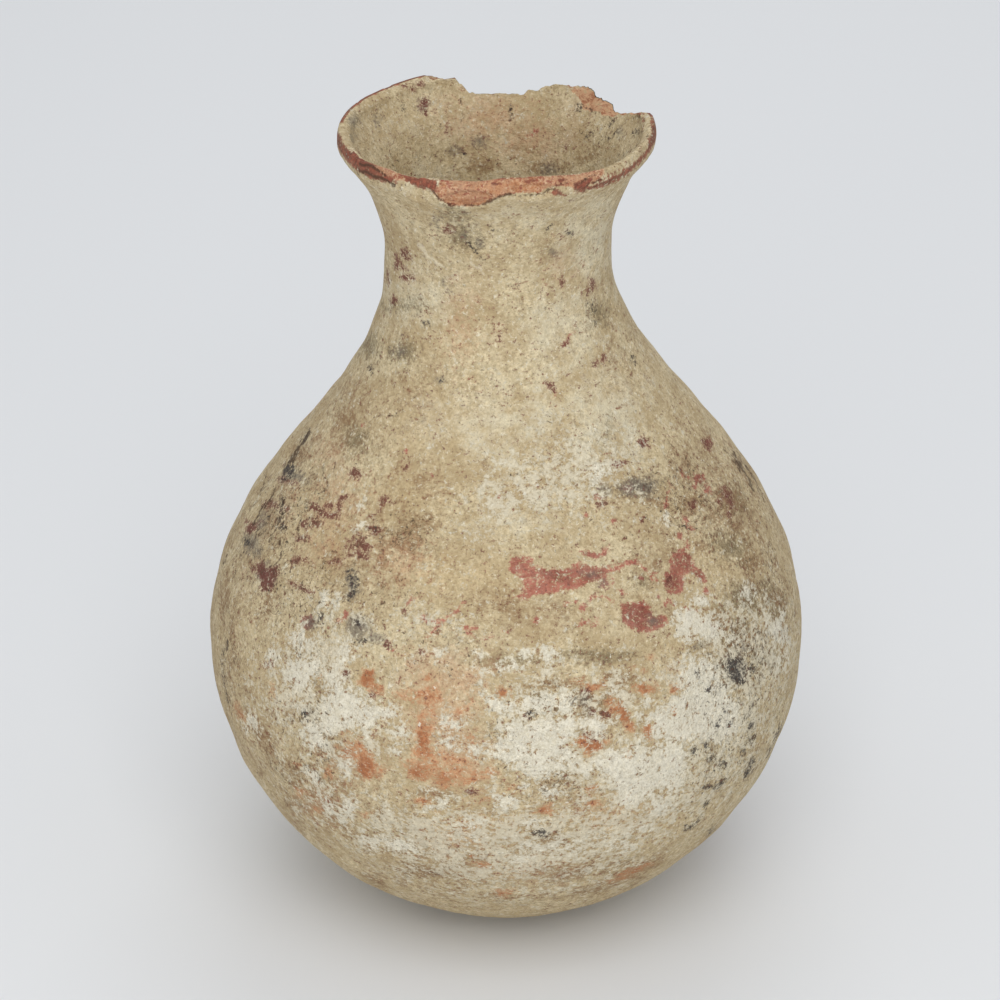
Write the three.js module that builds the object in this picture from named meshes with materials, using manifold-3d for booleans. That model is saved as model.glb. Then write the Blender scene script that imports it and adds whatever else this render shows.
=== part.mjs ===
// A hand-built terracotta jar: small flat foot, round belly, narrow neck and a flared mouth
// with a thickened lip, part of which is broken away at the back.
// Lengths are millimetres and angles are degrees. +Z is up and the foot stands on z = 0.
// Azimuth 0 is +X and azimuth 270, -Y, is the front.
import * as THREE from 'three';
import { mergeVertices } from 'three/addons/utils/BufferGeometryUtils.js';
import Module from 'manifold-3d';

const wasm = await Module();
wasm.setup();

// The outer profile is three smooth curves, foot to belly, belly to neck and neck to lip, and the
// near-upright outer face of the lip. A reach is how far a curve keeps its direction at an end,
// and the lip's crown is how far its rounded top rises above its edges.
const footRadius = 37;
const footReach = 55;
const bellyRadius = 145;
const bellyHeight = 128;
const bellyReachDown = 62;
const bellyReachUp = 92;
const neckRadius = 52.5;
const neckHeight = 336;
const neckReachDown = 78;
const neckReachUp = 25;
const lipRadius = 72;
const lipHeight = 397;
const lipFace = 8;
const lipBulge = 0.8;
const lipCrown = 0.7;
const flareReach = 14;
const flareSlope = 52;

// Wall thicknesses from the foot to the lip, measured square to the wall.
const footWall = 12;
const lowerWall = 10.5;
const bellyWall = 9;
const shoulderWall = 8.5;
const neckWall = 8;
const flareWall = 6.2;
const lipWall = 5.4;

// The jar isn't quite true: its axis drifts sideways, and its mouth tilts up towards +X.
const shoulderShift = 1.5;
const neckShift = -4.2;
const lipShift = -4.9;
const mouthTilt = 0.96;

// The mouth is uneven too: at each azimuth, how far the lip rises from its plane. The unevenness
// fades out below the lip.
const riseFade = 30;
const lipRise = [
  [0, -0.5], [20, 0], [100, -0.6], [115, -1.4], [135, -1.8], [155, -1.3], [175, -0.4], [195, 0], [215, -0.8],
  [228, 0.6], [240, -1.2], [252, -0.9], [262, 0.3], [273, 2], [284, 0.8], [296, -0.3], [312, -1.2], [335, -1.2],
  [360, -0.5],
];

// Levels between the named heights, each given by how far it is up that stretch of the jar.
const upLower = (share) => bellyHeight * share;
const upShoulder = (share) => bellyHeight + (neckHeight - bellyHeight) * share;
const upMouth = (share) => neckHeight + (lipHeight - neckHeight) * share;

const walls = [
  { height: 0, thickness: footWall },
  { height: upLower(0.31), thickness: lowerWall },
  { height: bellyHeight, thickness: bellyWall },
  { height: upShoulder(0.59), thickness: shoulderWall },
  { height: neckHeight, thickness: neckWall },
  { height: upMouth(0.64), thickness: flareWall },
  { height: lipHeight, thickness: lipWall },
];
const drift = [
  { height: bellyHeight, shift: 0 },
  { height: upShoulder(0.5), shift: shoulderShift },
  { height: neckHeight, shift: neckShift },
  { height: lipHeight, shift: lipShift },
];

// Outer heights of the joins between one course of clay and the next. Each join is a bevelled lap
// that runs down and inwards through the wall, with a hairline of room in it. The lip is a coil
// laid flat on the top of the flare.
const lapDrop = 7;
const lapRoom = 0.12;
const lipCoil = 4.6;
const joins = {
  base_dish: upLower(0.235),
  lower_wall_course: upLower(0.58),
  low_belly_course: upLower(0.905),
  high_belly_course: upShoulder(0.165),
  low_shoulder_course: upShoulder(0.385),
  high_shoulder_course: upShoulder(0.605),
  neck_root_course: upShoulder(0.835),
  neck_course: upMouth(0.26),
  mouth_flare: lipHeight - lipCoil,
};

// The broken part of the rim: at each azimuth, how far below the lip's top the break meets the
// outer skin, and how far below it meets the inner skin. The outer skin there is an inset inside
// the lip's radius, and the cut runs past both skins and above the lip.
const breakInset = 2;
const breakRun = 10;
const breakRise = 40;
const breakEdge = [
  [6, 0, 0], [10, 2, 1.5], [17, 4.8, 4.2], [22, 6.8, 6.2], [28, 10, 9.1], [33, 11.6, 11], [38, 10.8, 11.6],
  [44, 9.3, 12.5], [49, 8, 12], [53, 7, 9.4], [57, 6.6, 7], [60, 7.2, 5], [64, 7.4, 4.9], [72, 9.8, 8],
  [76, 10.8, 9.1], [80, 12.6, 10.9], [88, 12.6, 10.9], [97, 12, 10.3], [101, 10.6, 9.1], [105, 7, 5.3],
  [109, 4.5, 3], [114, 2, 1.2], [118, 0, 0],
];

// Shallow chips out of the lip's outer face: azimuth, depth below the lip's top, and half sizes
// along the rim, up and down, and into the wall.
const lipChips = [
  { azimuth: 260, below: 7.5, along: 13, tall: 5.5, deep: 2.2 },
  { azimuth: 283, below: 4.5, along: 11, tall: 4, deep: 1.6 },
  { azimuth: 243, below: 5.5, along: 9, tall: 4, deep: 1.4 },
];

// Cream slip over the body, and the red paint of the lip.
const slipColor = 0xc4b69a;
const slipRoughness = 0.95;
const lipColor = 0xa8644e;
const lipRoughness = 0.9;

// How finely the surfaces are made: round the jar, up it, across the lip's top and on a chip's
// ball, and how near two points are to be one.
const columns = 72;
const rowSpacing = 14;
const crownSteps = 4;
const ballColumns = 24;
const ballRows = 16;
const mergeDistance = 1e-4;
const slopeStep = 0.5;
const halvings = 40;

const radians = THREE.MathUtils.degToRad;

// The value at a level, eased smoothly between the rows of a list.
function easedAt(rows, height, key) {
  if (height <= rows[0].height) return rows[0][key];
  for (let i = 1; i < rows.length; i++) {
    const [low, high] = [rows[i - 1], rows[i]];
    if (height > high.height) continue;
    const share = THREE.MathUtils.smoothstep(height, low.height, high.height);
    return low[key] + (high[key] - low[key]) * share;
  }
  return rows[rows.length - 1][key];
}

// The outer profile as a path of [radius, height] from the foot's edge to the top of the lip.
function outerProfile() {
  const path = new THREE.CurvePath();
  const point = (r, z) => new THREE.Vector2(r, z);
  const foot = point(footRadius, 0);
  const belly = point(bellyRadius, bellyHeight);
  const neck = point(neckRadius, neckHeight);
  const lipFoot = point(lipRadius, lipHeight - lipFace);
  const lipTop = point(lipRadius, lipHeight);
  const slope = radians(flareSlope);
  path.add(new THREE.CubicBezierCurve(
    foot, point(footRadius + footReach, 0), point(bellyRadius, bellyHeight - bellyReachDown), belly));
  path.add(new THREE.CubicBezierCurve(
    belly, point(bellyRadius, bellyHeight + bellyReachUp), point(neckRadius, neckHeight - neckReachDown), neck));
  path.add(new THREE.CubicBezierCurve(
    neck, point(neckRadius, neckHeight + neckReachUp),
    point(lipFoot.x - flareReach * Math.cos(slope), lipFoot.y - flareReach * Math.sin(slope)), lipFoot));
  path.add(new THREE.QuadraticBezierCurve(
    lipFoot, point(lipRadius + 2 * lipBulge, lipHeight - lipFace / 2), lipTop));
  return path;
}

const profile = outerProfile();
const profileLength = profile.getLength();

// Points of the outer skin and, one wall thickness further in, of the inner skin.
function skinAt(distance) {
  const share = THREE.MathUtils.clamp(distance / profileLength, 0, 1);
  const outer = profile.getPointAt(share);
  const step = slopeStep / profileLength;
  const before = profile.getPointAt(Math.max(share - step, 0));
  const after = profile.getPointAt(Math.min(share + step, 1));
  const along = after.clone().sub(before).normalize();
  const thickness = easedAt(walls, outer.y, 'thickness');
  const inner = new THREE.Vector2(outer.x - along.y * thickness, outer.y + along.x * thickness);
  return { outer, inner };
}

// The distance along the profile at which the outer skin reaches a height.
function distanceAtHeight(height) {
  let [low, high] = [0, profileLength];
  for (let i = 0; i < halvings; i++) {
    const middle = (low + high) / 2;
    if (profile.getPointAt(middle / profileLength).y < height) low = middle;
    else high = middle;
  }
  return (low + high) / 2;
}

// How far the uneven lip rises at an azimuth, in a straight line between the rows of its list.
function riseAt(azimuth) {
  const turn = THREE.MathUtils.euclideanModulo(azimuth, 360);
  const next = lipRise.findIndex(([at]) => at > turn);
  const [[startAt, start], [endAt, end]] = [lipRise[next - 1], lipRise[next]];
  return start + (end - start) * (turn - startAt) / (endAt - startAt);
}

// Moves a point of the true round jar to where the leaning, tilted, uneven jar has it.
function lean(radius, height, azimuth) {
  const angle = radians(azimuth);
  const tilt = Math.tan(radians(mouthTilt)) * THREE.MathUtils.smoothstep(height, bellyHeight, lipHeight);
  const rise = riseAt(azimuth) * THREE.MathUtils.smoothstep(height, lipHeight - riseFade, lipHeight);
  return [
    radius * Math.cos(angle) + easedAt(drift, height, 'shift'),
    radius * Math.sin(angle),
    height + tilt * radius * Math.cos(angle) + rise,
  ];
}

// Rows of the skin from one distance to another, both ends included.
function rowsBetween(from, to, side) {
  const count = Math.max(1, Math.round(Math.abs(to - from) / rowSpacing));
  const rows = [];
  for (let i = 0; i <= count; i++) rows.push(skinAt(from + (to - from) * i / count)[side]);
  return rows;
}

// Turns a section about the axis and gives the result the jar's lean. A section either starts and
// ends on the axis or closes on itself.
function turned(section) {
  const geometry = new THREE.LatheGeometry(section, columns);
  geometry.rotateX(Math.PI / 2);
  const position = geometry.attributes.position;
  for (let i = 0; i < position.count; i++) {
    const [x, y, z] = [position.getX(i), position.getY(i), position.getZ(i)];
    const azimuth = THREE.MathUtils.radToDeg(Math.atan2(y, x));
    position.setXYZ(i, ...lean(Math.hypot(x, y), z, azimuth));
  }
  return joined(geometry);
}

// The same geometry with shared vertices and no collapsed triangles.
function joined(geometry) {
  const bare = geometry.clone();
  bare.deleteAttribute('normal');
  bare.deleteAttribute('uv');
  const merged = mergeVertices(bare, mergeDistance);
  const index = Array.from(merged.index.array);
  const kept = [];
  for (let i = 0; i < index.length; i += 3) {
    const [a, b, c] = index.slice(i, i + 3);
    if (a !== b && b !== c && c !== a) kept.push(a, b, c);
  }
  merged.setIndex(kept);
  return merged;
}

function solid(geometry) {
  return new wasm.Manifold(new wasm.Mesh({
    numProp: 3,
    vertProperties: Float32Array.from(geometry.attributes.position.array),
    triVerts: Uint32Array.from(geometry.index.array),
  }));
}

// What is left of a piece once the broken and chipped parts of the rim are taken out of it.
function brokenPiece(geometry) {
  let body = solid(geometry);
  for (const cut of rimCuts) body = body.subtract(cut);
  const { vertProperties, triVerts } = body.getMesh();
  const result = new THREE.BufferGeometry();
  result.setAttribute('position', new THREE.BufferAttribute(Float32Array.from(vertProperties), 3));
  result.setIndex(new THREE.BufferAttribute(Uint32Array.from(triVerts), 1));
  return result;
}

// The rounded top of the lip, between its outer and its inner edge.
function crownRows(outer, inner) {
  const rows = [];
  for (let i = 1; i < crownSteps; i++) {
    const share = i / crownSteps;
    const row = outer.clone().lerp(inner, share);
    row.y += lipCrown * Math.sin(Math.PI * share);
    rows.push(row);
  }
  return rows;
}

// A course's section. The lap's outer point is on the outer skin and its inner point is lower, on
// the inner skin.
function courseSection(fromHeight, toHeight) {
  const flat = [0, joins.mouth_flare, lipHeight];
  const lap = (height) => (flat.includes(height) ? 0 : lapDrop);
  const outerFrom = distanceAtHeight(fromHeight) + (fromHeight === 0 ? 0 : lapRoom);
  const outerTo = distanceAtHeight(toHeight);
  const outer = rowsBetween(outerFrom, outerTo, 'outer');
  const inner = rowsBetween(outerTo - lap(toHeight), outerFrom - lap(fromHeight), 'inner');
  const crown = toHeight === lipHeight ? crownRows(outer.at(-1), inner[0]) : [];
  const section = [...outer, ...crown, ...inner];
  if (fromHeight > 0) return [...section, section[0]];
  return [new THREE.Vector2(0, 0), ...section, new THREE.Vector2(0, footWall)];
}

// The space where the rim is missing: everything above a floor that falls from one skin to the
// other as the broken edge does, and runs on past both.
function missingRim() {
  const outerRadius = lipRadius - breakInset;
  const innerRadius = outerRadius - lipWall;
  const positions = [];
  for (const [azimuth, outerDrop, innerDrop] of breakEdge) {
    const fall = (innerDrop - outerDrop) / (outerRadius - innerRadius);
    const top = lipHeight + breakRise;
    const corner = (radius, height) => positions.push(...lean(radius, height, azimuth));
    corner(innerRadius - breakRun, lipHeight - innerDrop - fall * breakRun);
    corner(outerRadius + breakRun, lipHeight - outerDrop + fall * breakRun);
    corner(outerRadius + breakRun, top);
    corner(innerRadius - breakRun, top);
  }
  const triangles = [[0, 1, 2], [0, 2, 3]];
  for (let i = 0; i + 1 < breakEdge.length; i++) {
    for (let side = 0; side < 4; side++) {
      const a = 4 * i + side;
      const b = 4 * i + (side + 1) % 4;
      triangles.push([a, a + 4, b + 4], [a, b + 4, b]);
    }
  }
  const last = 4 * (breakEdge.length - 1);
  triangles.push([last, last + 2, last + 1], [last, last + 3, last + 2]);
  const geometry = new THREE.BufferGeometry();
  geometry.setAttribute('position', new THREE.Float32BufferAttribute(positions, 3));
  geometry.setIndex(triangles.flat());
  return solid(geometry);
}

// A flattened ball that scoops a shallow scar out of the lip's outer face.
function chipSpace({ azimuth, below, along, tall, deep }) {
  const ball = new THREE.SphereGeometry(1, ballColumns, ballRows);
  ball.scale(deep, along, tall);
  ball.rotateZ(radians(azimuth));
  ball.translate(...lean(lipRadius + lipBulge, lipHeight - below, azimuth));
  return solid(joined(ball));
}

function addPiece(name, geometry, color, roughness) {
  geometry.computeVertexNormals();
  const mesh = new THREE.Mesh(geometry, new THREE.MeshStandardMaterial({ color, roughness, metalness: 0 }));
  mesh.name = name;
  jar.add(mesh);
}

const jar = new THREE.Group();
jar.name = 'terracotta_jar';
const rimCuts = [missingRim(), ...lipChips.map(chipSpace)];

let from = 0;
for (const [name, to] of Object.entries(joins)) {
  const body = turned(courseSection(from, to));
  addPiece(name, name === 'mouth_flare' ? brokenPiece(body) : body, slipColor, slipRoughness);
  from = to;
}
addPiece('lip_coil', brokenPiece(turned(courseSection(from, lipHeight))), lipColor, lipRoughness);

export default jar;
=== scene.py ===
# A worn, hand-built clay jar with a broken lip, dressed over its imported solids.
# The jar's own sizes are in millimetres and turned into metres when a mesh is made.
import math

import bmesh
import bpy
import numpy as np
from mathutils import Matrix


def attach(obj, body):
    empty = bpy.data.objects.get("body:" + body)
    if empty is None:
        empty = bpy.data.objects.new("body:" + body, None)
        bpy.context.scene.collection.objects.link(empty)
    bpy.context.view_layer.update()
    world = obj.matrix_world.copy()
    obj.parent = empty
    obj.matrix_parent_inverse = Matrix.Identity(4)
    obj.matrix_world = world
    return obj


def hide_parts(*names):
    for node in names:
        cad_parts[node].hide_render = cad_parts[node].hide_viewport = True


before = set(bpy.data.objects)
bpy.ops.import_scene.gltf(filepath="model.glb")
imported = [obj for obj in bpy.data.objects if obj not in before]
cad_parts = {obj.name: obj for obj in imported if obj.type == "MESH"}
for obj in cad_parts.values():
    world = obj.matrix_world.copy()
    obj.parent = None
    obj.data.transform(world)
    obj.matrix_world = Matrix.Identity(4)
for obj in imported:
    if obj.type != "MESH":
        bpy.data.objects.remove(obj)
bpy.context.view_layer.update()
millimetre = 0.001

# The outer profile: three curves and the lip's face, as radii and heights. Change these with the solids.
form = {
    "footRadius": 37, "footReach": 55,
    "bellyRadius": 145, "bellyHeight": 128, "bellyReachDown": 62, "bellyReachUp": 92,
    "neckRadius": 52.5, "neckHeight": 336, "neckReachDown": 78, "neckReachUp": 25,
    "lipRadius": 72, "lipHeight": 397, "lipFace": 8, "lipBulge": 0.8, "lipCrown": 0.7,
    "flareReach": 14, "flareSlope": 52,
}


# A level between two of the heights above, given by how far it is up that stretch of the jar.
def upLower(share):
    return form["bellyHeight"] * share


def upShoulder(share):
    return form["bellyHeight"] + (form["neckHeight"] - form["bellyHeight"]) * share


def upMouth(share):
    return form["neckHeight"] + (form["lipHeight"] - form["neckHeight"]) * share


# Wall thickness by height, and how far the axis drifts sideways by height.
walls = np.array([
    (0, 12), (upLower(0.31), 10.5), (form["bellyHeight"], 9), (upShoulder(0.59), 8.5),
    (form["neckHeight"], 8), (upMouth(0.64), 6.2), (form["lipHeight"], 5.4),
])
drift = np.array([
    (form["bellyHeight"], 0), (upShoulder(0.5), 1.5), (form["neckHeight"], -4.2), (form["lipHeight"], -4.9),
])
mouthTilt = 0.96  # degrees
innerSmoothing = 20
lapDrop = 7  # how far a course's inner edge is below its outer one

# How far the uneven lip rises at each azimuth. This fades out below the lip.
riseFade = 30
lipRise = np.array([
    (0, -0.5), (20, 0), (100, -0.6), (115, -1.4), (135, -1.8), (155, -1.3), (175, -0.4), (195, 0),
    (215, -0.8), (228, 0.6), (240, -1.2), (252, -0.9), (262, 0.3), (273, 2), (284, 0.8), (296, -0.3),
    (312, -1.2), (335, -1.2), (360, -0.5),
])

# Outer height of the top of each course of clay, bottom first.
courses = {
    "base_dish": upLower(0.235), "lower_wall_course": upLower(0.58), "low_belly_course": upLower(0.905),
    "high_belly_course": upShoulder(0.165), "low_shoulder_course": upShoulder(0.385),
    "high_shoulder_course": upShoulder(0.605), "neck_root_course": upShoulder(0.835),
    "neck_course": upMouth(0.26), "mouth_flare": form["lipHeight"] - 4.6, "lip_coil": form["lipHeight"],
}

# The broken part of the rim: azimuth, then how far below the lip's top its outer and inner edges are.
breakEdge = np.array([
    (0, 0, 0), (6, 0, 0), (10, 2, 1.5), (17, 4.8, 4.2), (22, 6.8, 6.2), (28, 10, 9.1), (33, 11.6, 11),
    (38, 10.8, 11.6), (44, 9.3, 12.5), (49, 8, 12), (53, 7, 9.4), (57, 6.6, 7), (60, 7.2, 5), (64, 7.4, 4.9),
    (72, 9.8, 8), (76, 10.8, 9.1), (80, 12.6, 10.9), (88, 12.6, 10.9), (97, 12, 10.3), (101, 10.6, 9.1),
    (105, 7, 5.3), (109, 4.5, 3), (114, 2, 1.2), (118, 0, 0), (360, 0, 0),
])

# Where the break shows fresh clay, by azimuth. Slip or dirt covers the rest of it.
freshClay = np.array([(0, 0), (12, 0), (20, 0.8), (30, 1), (52, 1), (60, 0.45), (66, 0.2), (360, 0)])

# How rough the break is: cell size and height of the jags along its edges and of the grain on its face.
jags = [(3.4, 0.75), (1.3, 0.4)]
breakGrain = [(1.6, 0.5), (4, 0.6)]

# Nicks in the whole part of the lip's edge: cell size, how much of the noise is left out, and depth.
nicks = [(2.5, 0.45, 0.9), (9, 0, 0.35)]

# Shallow scars in the lip's front: azimuth, depth below the top, half width, half height and depth.
lipScars = [
    (260, 7.5, 13, 5.5, 1.9), (283, 4.5, 11, 4, 1.3), (243, 5.5, 9, 4, 1.1),
]

# How far the lip's inner edge is worn down, and how wide the worn part is on each side of the edge.
softEdge = {"sink": 0.6, "reach": 3}

# How much higher the lip's rounded top stands along its front, by azimuth.
frontCrown = np.array([
    (0, 0), (234, 0), (246, 2.2), (256, 1.8), (266, 1.2), (276, 1.5), (285, 2.1), (294, 1.6), (306, 0.6),
    (316, 0), (360, 0),
])

# How uneven the hand-built wall is: cell size and height of each size of lump, then the ripple that the
# coils left. Both come in over the lowest heights, so that the foot stays flat.
lumps = [(95, 1.1), (38, 0.35), (13, 0.2), (5, 0.11)]
coilRipple = {"spacing": 31, "height": 0.28, "wander": [(70, 1.3)]}
evenFoot = (1, 14)

# Where the photograph was taken from: the camera's place, how far down it looks and its lens.
view = {
    "side": -3.1, "distance": 1450, "height": 992.8, "down": 28.63,
    "lens": 122.97, "sensor": 36, "pixels": 1000,
}

grid = {
    "columns": 1000, "rowSpacing": 1.0, "footRowSpacing": 1.7, "flareRowSpacing": 0.75, "lipRowSpacing": 0.5,
    "innerRowSpacing": 3, "topRows": 12, "footRings": 14, "curveSteps": 600, "profileSteps": 3000,
}

# Each use of noise has seeds of its own, so that none repeats another.
seeds = {
    "lumps": 0, "ripple": 20, "jags": 31, "nicks": 33, "grain": 41, "band": 51,
    "wanderX": 61, "wanderY": 62, "wanderRound": 63, "wanderUp": 64,
}


def smoothstep(value, low, high):
    share = np.clip((value - low) / (high - low), 0, 1)
    return share * share * (3 - 2 * share)


def easedAt(height, table):
    levels, values = table.T
    index = np.clip(np.searchsorted(levels, height) - 1, 0, len(levels) - 2)
    share = smoothstep(height, levels[index], levels[index + 1])
    return values[index] + (values[index + 1] - values[index]) * share


# A table's value at each azimuth, which is in radians. The table is in degrees.
def roundAt(azimuth, table, column=1):
    return np.interp(np.degrees(azimuth) % 360, table[:, 0], table[:, column])


# A curve through its corners by the usual Bezier weights.
def bezier(corners):
    share = np.linspace(0, 1, grid["curveSteps"])[:, None]
    degree = len(corners) - 1
    total = 0
    for i, corner in enumerate(corners):
        weight = math.comb(degree, i) * share**i * (1 - share) ** (degree - i)
        total = total + weight * np.array(corner, float)
    return total


# A running mean over a few millimetres, with both ends kept where they are.
def evened(values, step):
    half = int(innerSmoothing / step)
    before = 2 * values[0] - values[half:0:-1]
    after = 2 * values[-1] - values[-2:-half - 2:-1]
    window = np.hanning(2 * half + 3)[1:-1]
    return np.convolve(np.concatenate([before, values, after]), window / window.sum(), "valid")


# The outer skin is the curves above, evenly spaced. The inner skin lies a wall's thickness inside it,
# smoothed, and never turns downwards.
def makeProfile():
    f = form
    slope = math.radians(f["flareSlope"])
    belly = (f["bellyRadius"], f["bellyHeight"])
    lipTop = (f["lipRadius"], f["lipHeight"])
    neck = (f["neckRadius"], f["neckHeight"])
    lipFoot = (f["lipRadius"], f["lipHeight"] - f["lipFace"])
    foot = bezier([(f["footRadius"], 0), (f["footRadius"] + f["footReach"], 0),
                   (belly[0], belly[1] - f["bellyReachDown"]), belly])
    shoulder = bezier([belly, (belly[0], belly[1] + f["bellyReachUp"]),
                       (neck[0], neck[1] - f["neckReachDown"]), neck])
    flare = (lipFoot[0] - f["flareReach"] * math.cos(slope), lipFoot[1] - f["flareReach"] * math.sin(slope))
    mouth = bezier([neck, (neck[0], neck[1] + f["neckReachUp"]), flare, lipFoot])
    face = bezier([lipFoot, (lipTop[0] + 2 * f["lipBulge"], lipTop[1] - f["lipFace"] / 2), lipTop])
    path = np.vstack([foot, shoulder[1:], mouth[1:], face[1:]])
    along = np.concatenate([[0], np.cumsum(np.hypot(*np.diff(path, axis=0).T))])
    even = np.linspace(0, along[-1], grid["profileSteps"])
    radius, height = np.interp(even, along, path[:, 0]), np.interp(even, along, path[:, 1])
    risingR, risingZ = np.gradient(radius, even), np.gradient(height, even)
    length = np.hypot(risingR, risingZ)
    thickness = easedAt(height, walls)
    innerRadius = evened(radius - risingZ / length * thickness, even[1])
    innerHeight = np.maximum.accumulate(evened(height + risingR / length * thickness, even[1]))
    return {"along": even, "radius": radius, "height": height, "outR": risingZ / length,
            "outZ": -risingR / length, "innerRadius": innerRadius, "innerHeight": innerHeight}


profile = makeProfile()


def alongAtHeight(height, side="height"):
    return np.interp(height, profile[side], profile["along"])


# Factors of the noise's hash, which turns a cell's corner and a seed into an even spread of numbers.
cornerFactors = (73856093, 19349663, 83492791)
seedFactor = 2654435761
mixFactors = (2246822519, 3266489917)
wordEnd = 0xFFFFFFFF


# Repeatable noise from -1 to 1: random corner values of a cubic grid, blended smoothly in each cell.
def smoothNoise(points, cell, seed):
    scaled = points / cell + 1000
    corner = np.floor(scaled).astype(np.int64)
    blend = scaled - corner
    blend = blend**3 * (blend * (blend * 6 - 15) + 10)
    total = np.zeros(points.shape[:-1])
    for offset in np.ndindex(2, 2, 2):
        x, y, z = np.moveaxis((corner + np.array(offset)) * cornerFactors, -1, 0)
        mixed = x ^ y ^ z ^ (seed * seedFactor)
        mixed = (mixed & wordEnd) * mixFactors[0] & wordEnd
        mixed = (mixed ^ (mixed >> 15)) * mixFactors[1] & wordEnd
        value = (mixed ^ (mixed >> 13)).astype(float) / wordEnd * 2 - 1
        weight = np.prod(np.where(np.array(offset) == 1, blend, 1 - blend), axis=-1)
        total += value * weight
    return total


# Noises added up, each with a cell size and a height. The seed goes up by a step from one to the next.
def noiseSum(points, layers, seed, step=1):
    return sum(size * smoothNoise(points, cell, seed + i * step) for i, (cell, size) in enumerate(layers))


# A circle of the lip's size, on which the noise of its edge is read.
def lipRing(azimuth, height=0.0):
    level = np.full(azimuth.shape, height)
    return np.stack([np.cos(azimuth), np.sin(azimuth), level], -1) * form["lipRadius"]


# A point of the wall: along the profile, round the axis, and from the outer skin (0) to the inner one (1).
# Lumps move it along the wall's outward direction, and the jar's drift and tilt move it last.
def wallPoints(along, azimuth, depth):
    along, azimuth, depth = np.broadcast_arrays(along, azimuth, depth)
    radius, height, outR, outZ, innerRadius, innerHeight = (
        np.interp(along, profile["along"], profile[key])
        for key in ("radius", "height", "outR", "outZ", "innerRadius", "innerHeight"))
    radius = radius + (innerRadius - radius) * depth
    height = height + (innerHeight - height) * depth
    radius = radius + np.minimum(along, 0) * radius / form["footRadius"]
    flat = np.stack([radius * np.cos(azimuth), radius * np.sin(azimuth), height], -1)
    wander = noiseSum(flat, coilRipple["wander"], seeds["ripple"])
    push = noiseSum(flat, lumps, seeds["lumps"])
    push += coilRipple["height"] * np.sin(2 * math.pi * along / coilRipple["spacing"] + wander)
    push *= smoothstep(height, *evenFoot)
    push -= scarDepth(along, azimuth) * (1 - depth)
    outward = np.stack([outR * np.cos(azimuth), outR * np.sin(azimuth), outZ], -1)
    return lean(flat + outward * push[..., None])


def lean(points):
    x, y, z = np.moveaxis(points, -1, 0)
    tilt = math.tan(math.radians(mouthTilt)) * smoothstep(z, form["bellyHeight"], form["lipHeight"])
    fade = smoothstep(z, form["lipHeight"] - riseFade, form["lipHeight"])
    rise = roundAt(np.arctan2(y, x), lipRise) * fade
    return np.stack([x + easedAt(z, drift), y, z + tilt * x + rise], -1)


# How deep the scars in the lip's front are: full in the middle, with a steep rim.
def scarDepth(along, azimuth):
    deepest = np.zeros(along.shape)
    for scarAzimuth, below, wide, tall, deep in lipScars:
        turn = (np.degrees(azimuth) - scarAzimuth + 180) % 360 - 180
        across = np.radians(turn) * form["lipRadius"] / wide
        up = (profile["along"][-1] - along - below) / tall
        deepest = np.maximum(deepest, deep * (1 - smoothstep(np.hypot(across, up), 0.7, 1.05)))
    return deepest


# The rim's edge at each azimuth, as distances along the profile for the outer and the inner skin.
def rimEdge(azimuth):
    ring = lipRing(azimuth)
    broken = smoothstep(roundAt(azimuth, breakEdge), 0, 3)
    jagged = noiseSum(ring, jags, seeds["jags"])
    nicked = sum(deep * np.maximum(smoothNoise(ring, cell, seeds["nicks"] + i) - leftOut, 0)
                 for i, (cell, leftOut, deep) in enumerate(nicks))
    edges = []
    for column, side in ((1, "height"), (2, "innerHeight")):
        drop = np.maximum(roundAt(azimuth, breakEdge, column) + jagged * broken, 0) + nicked * (1 - broken)
        edges.append(alongAtHeight(form["lipHeight"] - drop, side))
    outer, inner = edges
    return outer, np.where(broken > 0, inner, outer), broken


def photoPixels(points):
    down = math.radians(view["down"])
    x = points[..., 0] - view["side"]
    y = points[..., 1] + view["distance"]
    z = points[..., 2] - view["height"]
    deep = y * math.cos(down) - z * math.sin(down)
    high = y * math.sin(down) + z * math.cos(down)
    scale = view["lens"] / view["sensor"] * view["pixels"]
    middle = view["pixels"] / 2
    return middle + scale * x / deep, middle - scale * high / deep


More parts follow.
